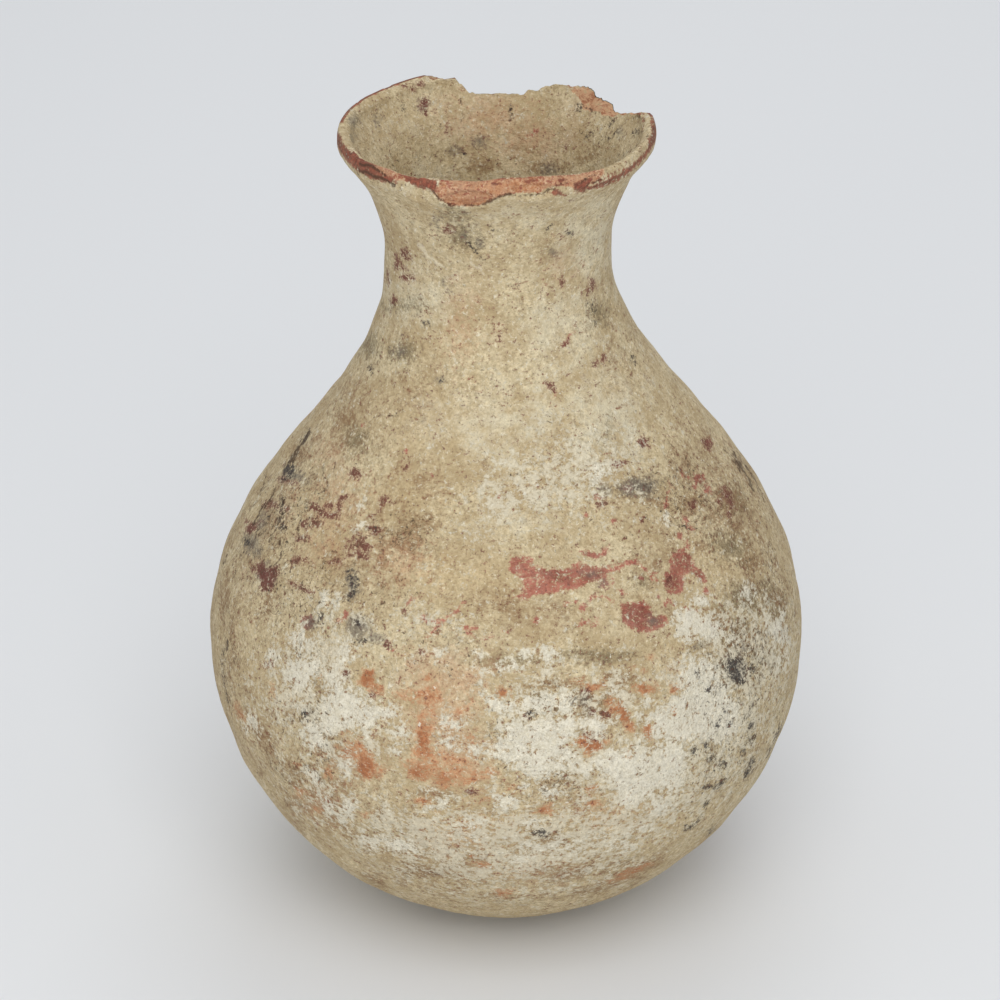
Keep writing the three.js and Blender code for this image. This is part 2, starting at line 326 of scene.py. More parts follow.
# Marks read from the photograph, in its pixels. A spot is an ellipse (x, y, half width, half height,
# turn), without the turn where there is none. An outline is a closed line of points, and a stroke is (half
# width, line of points). The reach is how many millimetres a mark takes to fade out on each side of its
# edge. The lines are cracks and the dark edges of the lip's scars, and the scratches are pale.
marks = {
    "white": {"reach": 4.5, "outlines": [
        [(324, 664), (338, 668), (344, 684), (358, 693), (368, 699), (382, 702), (397, 704), (399, 716),
        (388, 724), (376, 722), (368, 736), (352, 726), (340, 731), (326, 738), (318, 728), (321, 712),
        (318, 700), (322, 684)],
        [(284, 664), (300, 656), (317, 660), (322, 670), (314, 684), (306, 690), (292, 688), (282, 680)],
        [(301, 722), (322, 724), (326, 740), (322, 757), (307, 753), (302, 738)],
        [(484, 694), (500, 700), (516, 696), (530, 690), (548, 692), (566, 688), (575, 694), (575, 716),
        (560, 718), (540, 718), (520, 712), (500, 716), (486, 711)],
        [(500, 722), (520, 720), (540, 718), (560, 716), (577, 716), (580, 734), (575, 744), (578, 758),
        (566, 771), (548, 782), (530, 784), (518, 772), (506, 764), (491, 758), (482, 752), (484, 742),
        (497, 736)],
        [(581, 718), (612, 716), (617, 723), (600, 732), (584, 730)],
        [(592, 760), (614, 749), (640, 743), (660, 741), (684, 744), (690, 758), (684, 778), (676, 796),
        (660, 792), (640, 806), (622, 808), (612, 790), (606, 776), (596, 772)],
        [(682, 664), (706, 655), (722, 668), (734, 700), (738, 728), (722, 748), (700, 740), (686, 746),
        (664, 742), (642, 740), (640, 716), (662, 702), (682, 690)],
        [(674, 612), (694, 606), (716, 614), (726, 628), (716, 641), (700, 641), (686, 646), (674, 634)],
        [(762, 622), (782, 612), (790, 640), (784, 676), (776, 644)],
        [(590, 470), (604, 462), (612, 470), (610, 486), (592, 490)],
    ], "spots": [
        (347, 768, 8, 7), (403, 731, 7, 11), (390, 708, 7, 9), (446, 723, 6, 6), (451, 743, 8, 7),
        (436, 653, 6, 4, -20), (552, 794, 12, 5), (505, 802, 14, 8, 10), (530, 786, 8, 5),
        (480, 652, 3, 4), (350, 650, 6, 6), (330, 600, 10, 8), (300, 640, 14, 12), (350, 808, 8, 14),
        (660, 806, 12, 8), (585, 770, 18, 6), (500, 668, 26, 5), (545, 655, 20, 8), (700, 600, 12, 7),
        (684, 632, 8, 12), (360, 505, 3, 4, 40), (361, 525, 3, 5, 50), (345, 660, 8, 6), (575, 850, 10, 4),
        (400, 845, 20, 8, 20), (668, 520, 4, 6), (526, 846, 14, 6, -8), (560, 846, 20, 7, -8),
        (520, 858, 10, 4), (600, 838, 10, 4, -10), (470, 826, 14, 6), (436, 806, 14, 6),
        (620, 846, 14, 6, -10), (530, 826, 9, 5), (372, 838, 10, 6, 40), (455, 727, 5, 4),
        (462, 738, 7, 3, 10), (474, 750, 8, 4), (494, 773, 8, 4), (430, 790, 8, 3), (395, 748, 4, 6),
        (312, 776, 4, 12, -30), (326, 800, 4, 12, -35), (345, 820, 5, 10, -45), (300, 706, 8, 6),
        (650, 700, 12, 8), (610, 694, 8, 3), (570, 765, 10, 6), (640, 830, 14, 4, -10), (470, 842, 10, 4),
        (730, 640, 6, 6), (745, 590, 10, 8), (272, 655, 7, 6), (250, 720, 8, 12),
    ]},
    "chalk": {"reach": 16, "outlines": [
        [(280, 640), (330, 600), (370, 620), (360, 660), (400, 720), (410, 760), (340, 790), (290, 760),
        (270, 700)],
        [(480, 690), (560, 640), (580, 690), (620, 720), (640, 700), (680, 640), (720, 590), (790, 610),
        (790, 700), (760, 770), (700, 830), (620, 830), (540, 800), (500, 780)],
        [(330, 800), (420, 790), (520, 790), (700, 780), (690, 830), (620, 880), (480, 905), (400, 880),
        (340, 840)],
        [(560, 420), (640, 430), (640, 500), (560, 520), (470, 540), (470, 480)],
    ], "spots": [
        (300, 690, 50, 50), (430, 620, 30, 16), (440, 742, 60, 30), (620, 700, 50, 40),
        (320, 790, 30, 50, -30), (760, 650, 40, 60),
    ]},
    "orange": {"reach": 2.2, "outlines": [
        [(358, 664), (364, 669), (375, 668), (376, 680), (384, 686), (382, 694), (370, 692), (360, 688),
        (354, 684), (360, 674)],
        [(388, 692), (402, 688), (420, 686), (440, 680), (445, 700), (436, 712), (420, 706), (408, 704),
        (398, 704)],
        [(414, 712), (436, 706), (440, 724), (434, 744), (450, 752), (470, 757), (476, 768), (498, 764),
        (506, 777), (482, 782), (462, 788), (444, 792), (430, 780), (414, 782), (402, 772), (410, 752),
        (416, 742)],
        [(464, 692), (472, 698), (480, 710), (470, 712), (456, 716), (452, 706), (464, 704)],
        [(334, 746), (352, 744), (354, 738), (366, 740), (368, 752), (380, 762), (390, 766), (384, 776),
        (380, 782), (362, 782), (354, 770), (356, 761), (342, 757)],
        [(564, 672), (578, 676), (590, 678), (602, 684), (594, 691), (580, 684), (568, 680)],
        [(602, 700), (610, 694), (622, 704), (630, 712), (636, 728), (632, 742), (622, 730), (618, 716),
        (606, 716)],
        [(575, 738), (584, 732), (600, 736), (614, 742), (600, 750), (588, 758), (580, 758), (582, 748),
        (573, 744)],
        [(641, 725), (650, 724), (654, 740), (646, 742)],
    ], "spots": [
        (505, 692, 8, 6, 20), (646, 688, 16, 7), (674, 689, 6, 6), (626, 753, 3, 5), (647, 733, 6, 9),
        (592, 788, 9, 5, -10), (545, 812, 12, 6, -20), (593, 803, 9, 4, -8), (632, 872, 28, 2.5, -22),
        (424, 802, 9, 4), (651, 655, 7, 4), (673, 713, 5, 5), (347, 735, 8, 4), (322, 676, 3, 6),
        (471, 855, 5, 3), (484, 800, 9, 3), (296, 764, 5, 4), (512, 786, 6, 4), (328, 772, 8, 10),
        (317, 810, 6, 6, 30), (428, 676, 4, 4), (505, 892, 14, 3), (481, 865, 9, 3), (640, 668, 10, 4),
        (470, 738, 7, 4), (598, 684, 8, 6), (405, 766, 10, 8), (365, 814, 7, 6), (300, 792, 8, 6, 40),
        (240, 712, 4, 14, -20), (270, 690, 5, 10, -20), (460, 706, 8, 4),
    ]},
    "strong": {"reach": 3, "spots": [
        (366, 679, 10, 10, 30), (376, 688, 8, 4, 20), (343, 750, 10, 5, 20), (366, 768, 10, 12),
        (424, 742, 9, 15), (418, 772, 10, 8), (442, 780, 9, 6), (504, 692, 7, 5, 15), (429, 680, 4, 8, 10),
        (471, 738, 4, 5), (597, 683, 12, 5, 10), (645, 687, 14, 6), (674, 689, 5, 5),
        (626, 716, 8, 12, -30), (647, 733, 6, 8), (594, 744, 16, 9), (626, 753, 3, 4),
        (593, 788, 8, 4, -10), (593, 803, 9, 4, -8), (545, 811, 10, 5, -20), (471, 855, 5, 3),
        (481, 865, 8, 3), (501, 892, 12, 3), (424, 802, 8, 4), (632, 872, 26, 4, -22), (684, 560, 11, 8),
        (673, 581, 8, 12), (698, 575, 9, 8, 30), (698, 480, 7, 7), (640, 616, 20, 14, 10),
        (592, 576, 14, 10), (586, 552, 14, 5, -10), (264, 573, 9, 11, -30), (322, 511, 14, 7, 10),
        (515, 556, 8, 5), (307, 620, 9, 9), (727, 498, 8, 12, -20), (240, 712, 4, 14, -20),
        (556, 574, 20, 6),
    ]},
    "peachy": {"reach": 14, "outlines": [
        [(395, 650), (440, 645), (500, 655), (500, 690), (480, 720), (500, 770), (500, 800), (420, 800),
        (400, 740)],
    ], "spots": [
        (350, 760, 30, 24), (520, 870, 60, 16), (470, 835, 50, 24), (610, 815, 40, 16), (462, 330, 22, 50),
        (320, 800, 24, 24), (490, 120, 60, 30), (330, 500, 20, 40, 20), (525, 135, 34, 26),
        (330, 455, 20, 14), (350, 500, 16, 30), (325, 550, 24, 20), (290, 505, 10, 24, 15),
        (400, 560, 40, 30), (560, 260, 20, 20), (600, 810, 40, 16),
    ]},
    "brown": {"reach": 22, "spots": [
        (232, 600, 10, 90, 4), (735, 520, 24, 60, -24), (768, 590, 16, 34, -12), (745, 470, 8, 40, -32),
        (262, 540, 12, 40, 24), (300, 470, 16, 30, 30), (400, 530, 44, 34), (370, 560, 30, 30),
        (330, 780, 30, 34, -40), (250, 720, 14, 60, -18), (300, 800, 30, 30, -40), (420, 480, 40, 22),
        (600, 695, 26, 20), (548, 685, 34, 5), (690, 470, 34, 26, 40), (640, 490, 40, 16),
        # The spots at (600, 880) and (420, 870) darken the bottom: partly brown staining, partly painted
        # shadow of its rough relief.
        (740, 500, 16, 40, -30), (760, 600, 20, 20), (745, 640, 22, 26), (600, 880, 60, 14, -14),
        (420, 870, 60, 24, 20), (560, 800, 40, 14), (400, 400, 30, 20), (350, 420, 30, 40, 30),
        (620, 360, 14, 40, -20), (520, 610, 60, 14), (660, 560, 20, 40),
    ]},
    "olive": {"reach": 7, "outlines": [
        [(716, 538), (736, 538), (752, 556), (752, 568), (742, 566), (730, 556), (716, 556)],
        [(764, 580), (776, 590), (784, 606), (776, 612), (764, 600), (756, 588)],
    ], "spots": [
        (632, 490, 16, 7, -10), (652, 484, 10, 5), (773, 662, 7, 9), (721, 611, 6, 7), (724, 636, 10, 4),
        (754, 655, 3, 4), (745, 600, 20, 14, 30), (772, 600, 14, 18, -20), (732, 500, 12, 18, -20),
        (608, 430, 3, 16, 12), (455, 216, 16, 8, 10), (462, 236, 20, 12, 20), (405, 305, 26, 6),
        (404, 352, 14, 12), (552, 252, 8, 8), (600, 315, 10, 12), (730, 547, 20, 12, 20),
        (355, 440, 12, 16, 20), (540, 700, 8, 8), (595, 312, 6, 8), (640, 580, 10, 6), (370, 345, 10, 14),
        (500, 660, 40, 6), (600, 655, 40, 8), (740, 630, 10, 16, 20),
    ]},
    "red": {"reach": 1.2, "outlines": [
        [(510, 556), (520, 554), (534, 556), (536, 566), (548, 570), (566, 568), (580, 562), (598, 566),
        (613, 564), (608, 574), (613, 584), (604, 590), (596, 582), (582, 586), (566, 589), (552, 592),
        (536, 597), (526, 600), (511, 597), (526, 589), (520, 578), (510, 570)],
        [(577, 550), (586, 548), (599, 551), (608, 547), (608, 554), (596, 558), (582, 556)],
        [(671, 557), (677, 551), (685, 550), (691, 556), (694, 563), (700, 568), (706, 574), (708, 583),
        (701, 582), (694, 575), (687, 573), (687, 581), (684, 591), (677, 595), (669, 593), (665, 584),
        (663, 574), (671, 569)],
        [(622, 604), (634, 600), (648, 604), (652, 614), (664, 613), (668, 624), (656, 631), (640, 632),
        (628, 629), (621, 619)],
        [(690, 481), (697, 474), (705, 473), (705, 482), (698, 486), (696, 493), (691, 492), (692, 486)],
    ], "spots": [
        (686, 520, 4, 3), (690, 528, 5, 3, 20), (681, 536, 3, 5), (687, 546, 3, 5), (667, 503, 2.5, 7, 10),
        (630, 490, 6, 4), (707, 492, 4, 5, -40), (583, 608, 3, 5, 30), (706, 590, 4, 4), (590, 600, 3, 4),
        (604, 585, 8, 3, 60), (640, 577, 5, 2, 10), (655, 572, 3, 2), (577, 603, 2, 3), (622, 592, 6, 2),
        (537, 621, 4, 3), (498, 496, 2.5, 2.5), (504, 630, 4, 1.5), (530, 135, 5, 3, -15),
        (643, 442, 5, 2, 10), (618, 463, 5, 2.5), (347, 616, 4, 6, 20), (339, 620, 5, 2), (307, 621, 7, 8),
        (698, 480, 7, 6), (707, 445, 3, 3), (409, 449, 3, 4), (431, 474, 1.5, 3), (411, 600, 4, 3),
        (392, 652, 4, 3, 30), (645, 516, 2, 3), (534, 133, 6, 2.5, -15), (530, 137, 3, 2.5),
        (598, 497, 5, 3, 10), (613, 523, 3, 3), (585, 515, 3, 4), (467, 629, 6, 3, 15), (484, 638, 5, 2),
        (566, 604, 5, 2), (708, 490, 3, 4), (597, 621, 2, 6, 10), (660, 597, 3, 3), (553, 395, 2, 2),
        (362, 424, 2.5, 2),
    ], "strokes": [
        (2.6, [(421, 617), (428, 622), (436, 623), (447, 621)]),
        (1.8, [(466, 626), (472, 630), (479, 629)]), (1.6, [(468, 633), (475, 637)]),
        (1.6, [(484, 638), (494, 636)]), (1.5, [(500, 627), (507, 632)]),
        (1.8, [(409, 604), (411, 598), (415, 598)]), (1.3, [(562, 344), (570, 337), (574, 333)]),
        (3, [(604, 573), (618, 568), (628, 564), (637, 563)]),
        (1.8, [(637, 563), (645, 568), (652, 576), (660, 581)]),
        (1.5, [(612, 577), (618, 583), (610, 588)]), (1.6, [(681, 468), (684, 475), (689, 480)]),
        (1.6, [(705, 486), (707, 494)]), (1.6, [(592, 598), (602, 597), (612, 600), (616, 604)]),
        (2.2, [(581, 625), (587, 621), (593, 626)]), (1.8, [(664, 604), (669, 601), (674, 606)]),
        (1.4, [(680, 605), (687, 610), (695, 610)]), (1.2, [(447, 617), (456, 611), (465, 603)]),
        (1.4, [(441, 626), (433, 632), (427, 639)]), (1.3, [(668, 480), (673, 488), (668, 494)]),
    ]},
    "maroon": {"reach": 1.6, "outlines": [
        [(560, 275), (564, 275), (565, 284), (562, 288), (559, 282)],
        [(590, 280), (595, 280), (596, 289), (593, 295), (590, 290)],
        [(256, 563), (263, 560), (268, 567), (278, 566), (279, 573), (273, 580), (272, 588), (266, 593),
        (260, 590), (262, 580), (257, 572)],
    ], "spots": [
        (727, 494, 4, 5), (720, 501, 3, 3), (731, 503, 3, 7, -10), (728, 514, 3, 4), (724, 488, 4, 2),
        (606, 715, 5, 3), (586, 690, 4, 3), (597, 735, 12, 3, 8), (255, 568, 3, 4), (315, 508, 6, 4, 20),
        (328, 515, 10, 3, 5), (304, 525, 4, 4), (361, 542, 4, 3, -30), (364, 546, 6, 5), (354, 475, 6, 5),
        (297, 560, 7, 2, -35), (270, 505, 5, 3, 20), (288, 507, 4, 3), (376, 530, 5, 5),
        (252, 527, 6, 6, 30), (295, 562, 6, 3, -30), (360, 555, 8, 4, 30), (283, 480, 5, 3),
        (371, 516, 2.5, 2.5), (643, 442, 6, 4, -20), (618, 463, 8, 3.5, 10), (706, 446, 3.5, 7, -20),
        (327, 505, 5, 3), (385, 500, 4, 6), (344, 498, 4, 2), (318, 524, 6, 4), (407, 470, 3, 3),
        (602, 505, 5, 3), (643, 520, 3, 5), (406, 253, 4, 6, -30), (399, 265, 4, 6), (406, 280, 6, 3.5),
        (393, 300, 3, 5), (604, 357, 2.2, 5, 15), (597, 363, 2.2, 4, 40), (564, 342, 5, 2, -25),
        (447, 231, 5, 3, 20), (549, 385, 3, 3), (552, 391, 3, 2.5), (563, 236, 2, 3), (406, 612, 2.5, 3),
        (422, 652, 4, 2.5, 30), (566, 147, 3, 4), (448, 128, 2.5, 4), (355, 155, 4, 4), (386, 646, 4, 4),
        (590, 292, 2, 5), (370, 529, 3, 3), (424, 102, 4, 6, 15), (426, 112, 2, 5, -15), (287, 506, 4, 3),
        (272, 508, 8, 2, 10), (253, 526, 5, 5), (346, 676, 4, 6), (594, 712, 4, 3), (692, 506, 4, 3),
        (470, 790, 6, 3), (268, 665, 5, 5), (371, 694, 4, 4), (670, 582, 3, 6), (412, 87, 4, 3, 40),
        (421, 84, 4, 4), (404, 84, 2.5, 3), (300, 540, 5, 3), (304, 588, 5, 2, 30), (334, 562, 8, 1.5),
        (526, 716, 5, 3),
    ], "strokes": [
        (2.8, [(313, 506), (318, 511), (325, 514), (332, 516), (337, 514)]),
        (2.2, [(334, 514), (338, 507), (337, 501), (341, 498)]),
        (1.4, [(303, 524), (309, 520), (317, 519), (319, 525), (313, 528)]),
        (1.8, [(289, 583), (298, 587), (306, 591), (312, 593)]),
        (1.2, [(343, 552), (348, 546), (353, 549), (359, 541), (364, 538)]),
        (1.1, [(345, 559), (351, 554), (357, 558)]), (1.1, [(352, 540), (356, 534), (360, 537)]),
        (1.1, [(360, 549), (367, 543)]), (1, [(347, 541), (352, 545), (350, 551)]),
        (1.4, [(368, 528), (375, 532), (380, 528)]), (1, [(306, 528), (307, 543)]),
        (1.2, [(290, 568), (295, 560), (307, 557)]), (1, [(330, 563), (342, 562)]),
        (1.2, [(263, 505), (272, 504), (281, 508)]), (2, [(402, 249), (407, 256), (411, 259)]),
        (1.8, [(397, 256), (399, 266), (406, 270)]), (2, [(401, 279), (412, 280)]),
        (1.2, [(388, 270), (389, 284)]), (1, [(500, 332), (500, 340)]),
        (1, [(245, 520), (254, 528), (262, 521)]), (1.4, [(281, 482), (296, 483)]),
        (1.2, [(379, 512), (384, 498), (392, 503)]),
    ]},
    "dark": {"reach": 1.8, "outlines": [
        [(726, 661), (734, 656), (742, 662), (740, 672), (744, 682), (738, 686), (732, 678), (727, 674)],
    ], "spots": [
        (283, 527, 4, 6), (291, 470, 6, 8), (304, 713, 3, 5), (722, 764, 4, 2.5), (752, 668, 2, 3),
        (709, 690, 4, 3), (717, 724, 3, 4, 20), (729, 722, 2, 4, 20), (291, 473, 6, 5, 30),
        (285, 480, 5, 2), (282, 528, 3, 3), (632, 359, 4, 2), (371, 368, 1.5, 5), (441, 382, 3, 2),
        (402, 108, 3, 3, 40), (464, 154, 3, 2.5), (494, 228, 3.5, 2), (571, 233, 3, 2.5), (427, 325, 5, 3),
        (751, 726, 3, 4), (706, 746, 2.5, 4), (693, 750, 2.5, 5, 20), (710, 758, 4, 2),
        (724, 711, 2.5, 2.5), (696, 673, 4, 2, 30), (530, 714, 6, 3), (735, 670, 7, 12, -20),
        (540, 834, 8, 3), (361, 641, 8, 2), (577, 107, 2.5, 3), (583, 105, 2, 2), (613, 119, 1.5, 2),
        (611, 123, 3, 2), (636, 133, 3, 2, -30), (248, 542, 3, 4), (320, 617, 2, 4), (452, 677, 2, 4, -40),
        (358, 624, 3, 2, 20),
    ], "strokes": [
        (2, [(352, 571), (350, 580), (353, 588), (349, 599)]), (1.2, [(355, 574), (357, 584)]),
        (1, [(466, 245), (474, 252), (483, 261)]), (1, [(631, 357), (635, 365)]),
        (1, [(552, 226), (546, 232)]), (1, [(592, 306), (595, 313)]), (1, [(595, 321), (596, 326)]),
        (0.9, [(603, 143), (611, 135), (616, 129)]), (0.9, [(577, 104), (578, 111)]),
        (0.9, [(581, 135), (592, 136)]), (0.9, [(512, 107), (513, 118)]),
        (2.6, [(752, 759), (749, 768), (745, 777)]), (1.2, [(755, 736), (748, 744), (742, 752)]),
        (1.6, [(685, 828), (692, 825), (702, 817)]), (1, [(707, 835), (714, 827)]),
        (1, [(781, 722), (776, 740), (767, 757)]), (1.1, [(752, 704), (748, 712), (744, 716)]),
        (1, [(704, 808), (708, 803)]), (1.4, [(704, 787), (716, 786), (726, 778)]),
        (1.6, [(282, 498), (281, 512), (279, 523)]), (1.2, [(308, 431), (303, 441)]),
        (0.9, [(226, 640), (222, 668), (228, 700)]),
    ]},
    "bruise": {"reach": 3.4, "spots": [
        (437, 224, 4, 5, -30), (464, 237, 5, 3, 30), (478, 243, 5, 3, 20), (442, 284, 3, 3),
        (449, 291, 2, 3), (400, 352, 5, 4), (552, 251, 3, 3), (354, 120, 5, 9), (377, 121, 3, 6),
        (352, 137, 5, 4), (455, 153, 8, 5), (480, 142, 8, 5), (548, 170, 9, 6), (590, 573, 7, 3),
        (604, 584, 6, 4), (583, 700, 7, 9), (590, 712, 6, 5), (251, 538, 5, 9), (258, 550, 5, 6),
        (440, 382, 6, 3), (620, 131, 4, 4), (359, 627, 13, 13), (374, 638, 9, 5, 20), (351, 586, 7, 16, 4),
        (253, 543, 7, 11, 10), (296, 476, 14, 6, 20), (312, 622, 9, 6), (266, 574, 10, 12),
        (262, 522, 5, 12, 10), (356, 627, 11, 9), (424, 104, 5, 8), (735, 668, 12, 16, -20),
        (748, 768, 5, 10, 20), (700, 646, 10, 3, -25), (652, 620, 6, 5), (310, 712, 7, 6),
        (640, 487, 20, 10, -10), (604, 490, 8, 6),
    ]},
    "smudge": {"reach": 4, "spots": [
        # Smudges are brown streaks and patches. The first five spots, low inside the mouth just above the
        # front lip, are painted shade where the inside falls into shadow; those over the bottom are partly
        # painted shadow of its rough relief.
        (480, 166, 20, 6), (545, 168, 24, 6), (456, 150, 8, 4), (590, 156, 14, 4, -20), (520, 150, 12, 5),
        (634, 872, 34, 5, -24), (566, 874, 22, 7, -4), (590, 889, 20, 4, -8), (551, 838, 13, 4, 6),
        (612, 868, 16, 3, -20), (478, 858, 12, 5, 10), (436, 795, 20, 6, 5), (330, 812, 8, 16, -35),
        (314, 800, 5, 14, -35), (345, 830, 10, 4, 40), (420, 870, 14, 3, 10), (500, 895, 22, 3),
        (382, 812, 8, 5), (735, 500, 8, 14, -20), (745, 640, 12, 9), (776, 598, 8, 8), (586, 703, 11, 14),
        (555, 684, 30, 4, -4), (727, 502, 10, 18, -15), (720, 620, 8, 10), (622, 680, 16, 5),
        (232, 640, 3, 40, 4), (225, 600, 3, 30, 6), (268, 596, 5, 20, 10), (690, 505, 12, 9),
        (715, 516, 8, 8), (655, 500, 14, 6), (400, 545, 14, 8), (425, 520, 12, 6), (382, 560, 8, 8),
        (300, 455, 8, 10, 20), (345, 420, 10, 6), (740, 470, 4, 16, -30), (752, 560, 8, 10, -20),
        (300, 840, 12, 4, 50), (375, 880, 14, 4, 30), (290, 770, 5, 16, -25), (262, 735, 4, 18, -20),
        (700, 545, 10, 5, 20), (640, 560, 14, 4), (540, 870, 12, 4, -10),
    ]},
    "peppered": {"reach": 14, "outlines": [
        [(690, 640), (740, 620), (790, 620), (784, 700), (760, 770), (720, 800), (690, 790), (684, 700)],
    ], "spots": [
        (318, 700, 26, 60), (300, 650, 30, 16), (560, 700, 24, 10), (500, 738, 14, 14),
        (250, 560, 14, 60, 15), (230, 680, 8, 60, -6), (420, 640, 40, 8), (400, 535, 40, 24),
        (380, 600, 30, 20), (300, 770, 30, 14), (680, 500, 40, 40), (770, 560, 12, 50, -10),
        (290, 520, 40, 60, 20), (300, 590, 50, 50), (430, 660, 60, 10), (380, 160, 40, 8),
        (560, 780, 40, 10),
    ]},
    "pale": {"reach": 22, "spots": [
        (600, 420, 50, 60), (500, 420, 90, 36), (440, 180, 50, 14), (590, 235, 40, 60), (420, 300, 40, 30),
        (520, 520, 50, 20), (400, 130, 50, 14), (560, 330, 40, 50), (520, 215, 90, 14), (420, 420, 40, 10),
    ]},
    "ochre": {"reach": 26, "spots": [
        (330, 540, 40, 50, 20), (400, 500, 60, 40), (460, 820, 90, 40), (600, 830, 80, 30),
        (430, 420, 60, 40), (240, 660, 14, 60), (720, 560, 40, 30), (400, 125, 40, 20), (460, 580, 80, 30),
        (520, 800, 60, 30),
    ]},
    "lipRed": {"reach": 1.2, "outlines": [
        [(333, 128), (339, 132), (343, 142), (349, 150), (358, 154), (371, 157), (381, 160), (374, 164),
        (381, 172), (393, 177), (396, 183), (386, 183), (374, 180), (362, 175), (352, 167), (343, 157),
        (336, 146)],
        [(398, 174), (412, 175), (427, 177), (437, 180), (439, 186), (434, 193), (428, 190), (418, 188),
        (407, 182)],
        [(573, 184), (582, 180), (590, 176), (594, 180), (588, 186), (598, 184), (608, 178), (620, 172),
        (631, 165), (640, 157), (647, 147), (651, 132), (650, 118), (654, 116), (658, 128), (656, 142),
        (648, 154), (640, 163), (628, 175), (614, 183), (600, 188), (586, 192), (574, 193)],
        [(551, 194), (555, 188), (561, 190), (566, 195), (560, 197)],
        [(549, 187), (556, 183), (568, 183), (568, 185), (556, 187)],
    ], "spots": [
        (640, 114, 4, 1), (532, 181, 9, 2, -4), (562, 180, 6, 2, -6), (452, 204, 6, 1.6, 8),
        (404, 178, 5, 2, 20), (496, 184, 6, 1.4),
    ], "strokes": [
        (0.9, [(348, 108), (360, 99), (380, 90), (400, 82), (422, 77), (446, 77)]),
        (1.2, [(592, 170), (610, 161), (625, 153), (634, 145), (641, 137), (644, 125), (643, 118)]),
        (1, [(600, 182), (618, 170)]), (1.6, [(436, 180), (470, 178), (500, 178), (540, 175), (572, 173)]),
    ]},
    "peach": {"reach": 1.2, "outlines": [
        [(346, 150), (358, 156), (378, 160), (388, 164), (396, 170), (408, 174), (430, 179), (440, 187),
        (436, 190), (420, 186), (404, 181), (390, 179), (372, 172), (356, 164), (347, 156)],
        [(440, 180), (470, 179), (500, 178), (545, 176), (577, 174), (581, 181), (576, 190), (568, 187),
        (556, 186), (547, 188), (541, 193), (522, 193), (508, 194), (498, 198), (484, 205), (468, 207),
        (452, 206), (441, 201), (433, 193), (437, 187)],
        [(577, 174), (590, 171), (604, 168), (604, 174), (598, 181), (580, 191), (576, 186)],
    ], "strokes": [
        (1, [(365, 170), (378, 176), (392, 180)]), (1.2, [(588, 181), (596, 179), (602, 180)]),
    ]},
    "line": {"reach": 1, "strokes": [
        (2, [(308, 433), (301, 445), (295, 456), (289, 463)]),
        (1.6, [(732, 452), (738, 462), (747, 477), (754, 490)]),
        (1.2, [(736, 450), (746, 466), (756, 484), (764, 500)]), (1, [(724, 446), (733, 458), (741, 472)]),
        (1, [(327, 460), (323, 476), (329, 484), (321, 494)]), (0.8, [(308, 498), (304, 512)]),
        (1.3, [(276, 488), (268, 502), (260, 512), (254, 523)]), (0.9, [(265, 484), (259, 497)]),
        (1.4, [(283, 498), (281, 512), (279, 523), (272, 542)]),
        (1.3, [(282, 542), (283, 551), (279, 559), (272, 567)]), (0.9, [(258, 500), (250, 510)]),
        (0.8, [(334, 545), (334, 556)]), (1, [(336, 462), (334, 473)]), (0.9, [(300, 515), (298, 540)]),
        (0.6, [(363, 420), (382, 415), (403, 419)]), (0.7, [(266, 470), (258, 500)]),
        (0.7, [(705, 645), (694, 650), (687, 657)]), (0.6, [(549, 90), (550, 104), (548, 120)]),
        (0.6, [(461, 96), (463, 110), (460, 122)]), (0.7, [(603, 146), (612, 134), (618, 128)]),
        (0.6, [(600, 520), (602, 533)]), (0.5, [(437, 205), (452, 210)]), (0.7, [(227, 550), (223, 562)]),
        (0.5, [(590, 133), (576, 134)]), (1.8, [(359, 162), (370, 167), (384, 175)]),
        (1.6, [(358, 169), (368, 175), (380, 179), (392, 184)]),
        (1.2, [(578, 183), (586, 178), (597, 175)]), (1.2, [(580, 187), (592, 183), (602, 181)]),
        (1, [(556, 184), (568, 183)]), (1, [(645, 117), (645, 134), (637, 147), (620, 156)]),
        (0.8, [(633, 117), (641, 118)]), (1, [(577, 101), (588, 109), (600, 113)]),
        (0.9, [(566, 89), (574, 98)]),
        # These four strokes along the lower edge of the lip's front scars are partly the slip's dark edge and
        # partly painted shadow under that raised edge.
        (1.5, [(432, 193), (436, 197), (441, 201), (448, 205), (456, 207), (480, 206)]),
        (2.2, [(482, 205), (487, 203), (491, 201)]),
        (1.6, [(491, 201), (497, 198), (505, 196), (510, 195)]),
        (1.1, [(510, 195), (525, 193), (541, 193), (549, 188), (556, 188)]),
        (0.8, [(352, 168), (360, 175)]), (0.8, [(592, 188), (604, 184)]),
        (0.6, [(460, 644), (450, 648), (462, 648), (452, 653)]), (0.5, [(634, 116), (642, 117)]),
        (0.6, [(610, 158), (628, 150)]), (0.6, [(512, 106), (514, 118)]), (0.5, [(500, 112), (520, 111)]),
        (0.6, [(230, 640), (232, 664)]),
    ]},
    "scratch": {"reach": 1, "strokes": [
        (2.4, [(418, 244), (428, 256), (443, 268)]), (1.4, [(470, 262), (480, 270), (490, 278)]),
        (1.2, [(448, 268), (460, 261)]), (0.8, [(596, 322), (600, 338)]), (0.8, [(640, 400), (668, 430)]),
        (0.8, [(400, 90), (412, 98)]), (0.7, [(480, 170), (476, 158)]),
        (1.2, [(262, 470), (246, 498), (232, 528)]), (0.7, [(508, 470), (512, 500)]),
        (0.7, [(480, 655), (484, 656)]), (1, [(498, 672), (512, 674)]),
    ]},
}
lipKinds = ("lipRed", "peach")
pixelSize = 0.49  # millimetres for each pixel

# How far the marks' edges wander: cell size in millimetres and size in pixels of the photograph, and for
# the side that it doesn't show, cell and size in millimetres.
wander = [(8, 2.4), (2.8, 1.3)]
unseenWander = [(16, 8), (5, 3)]

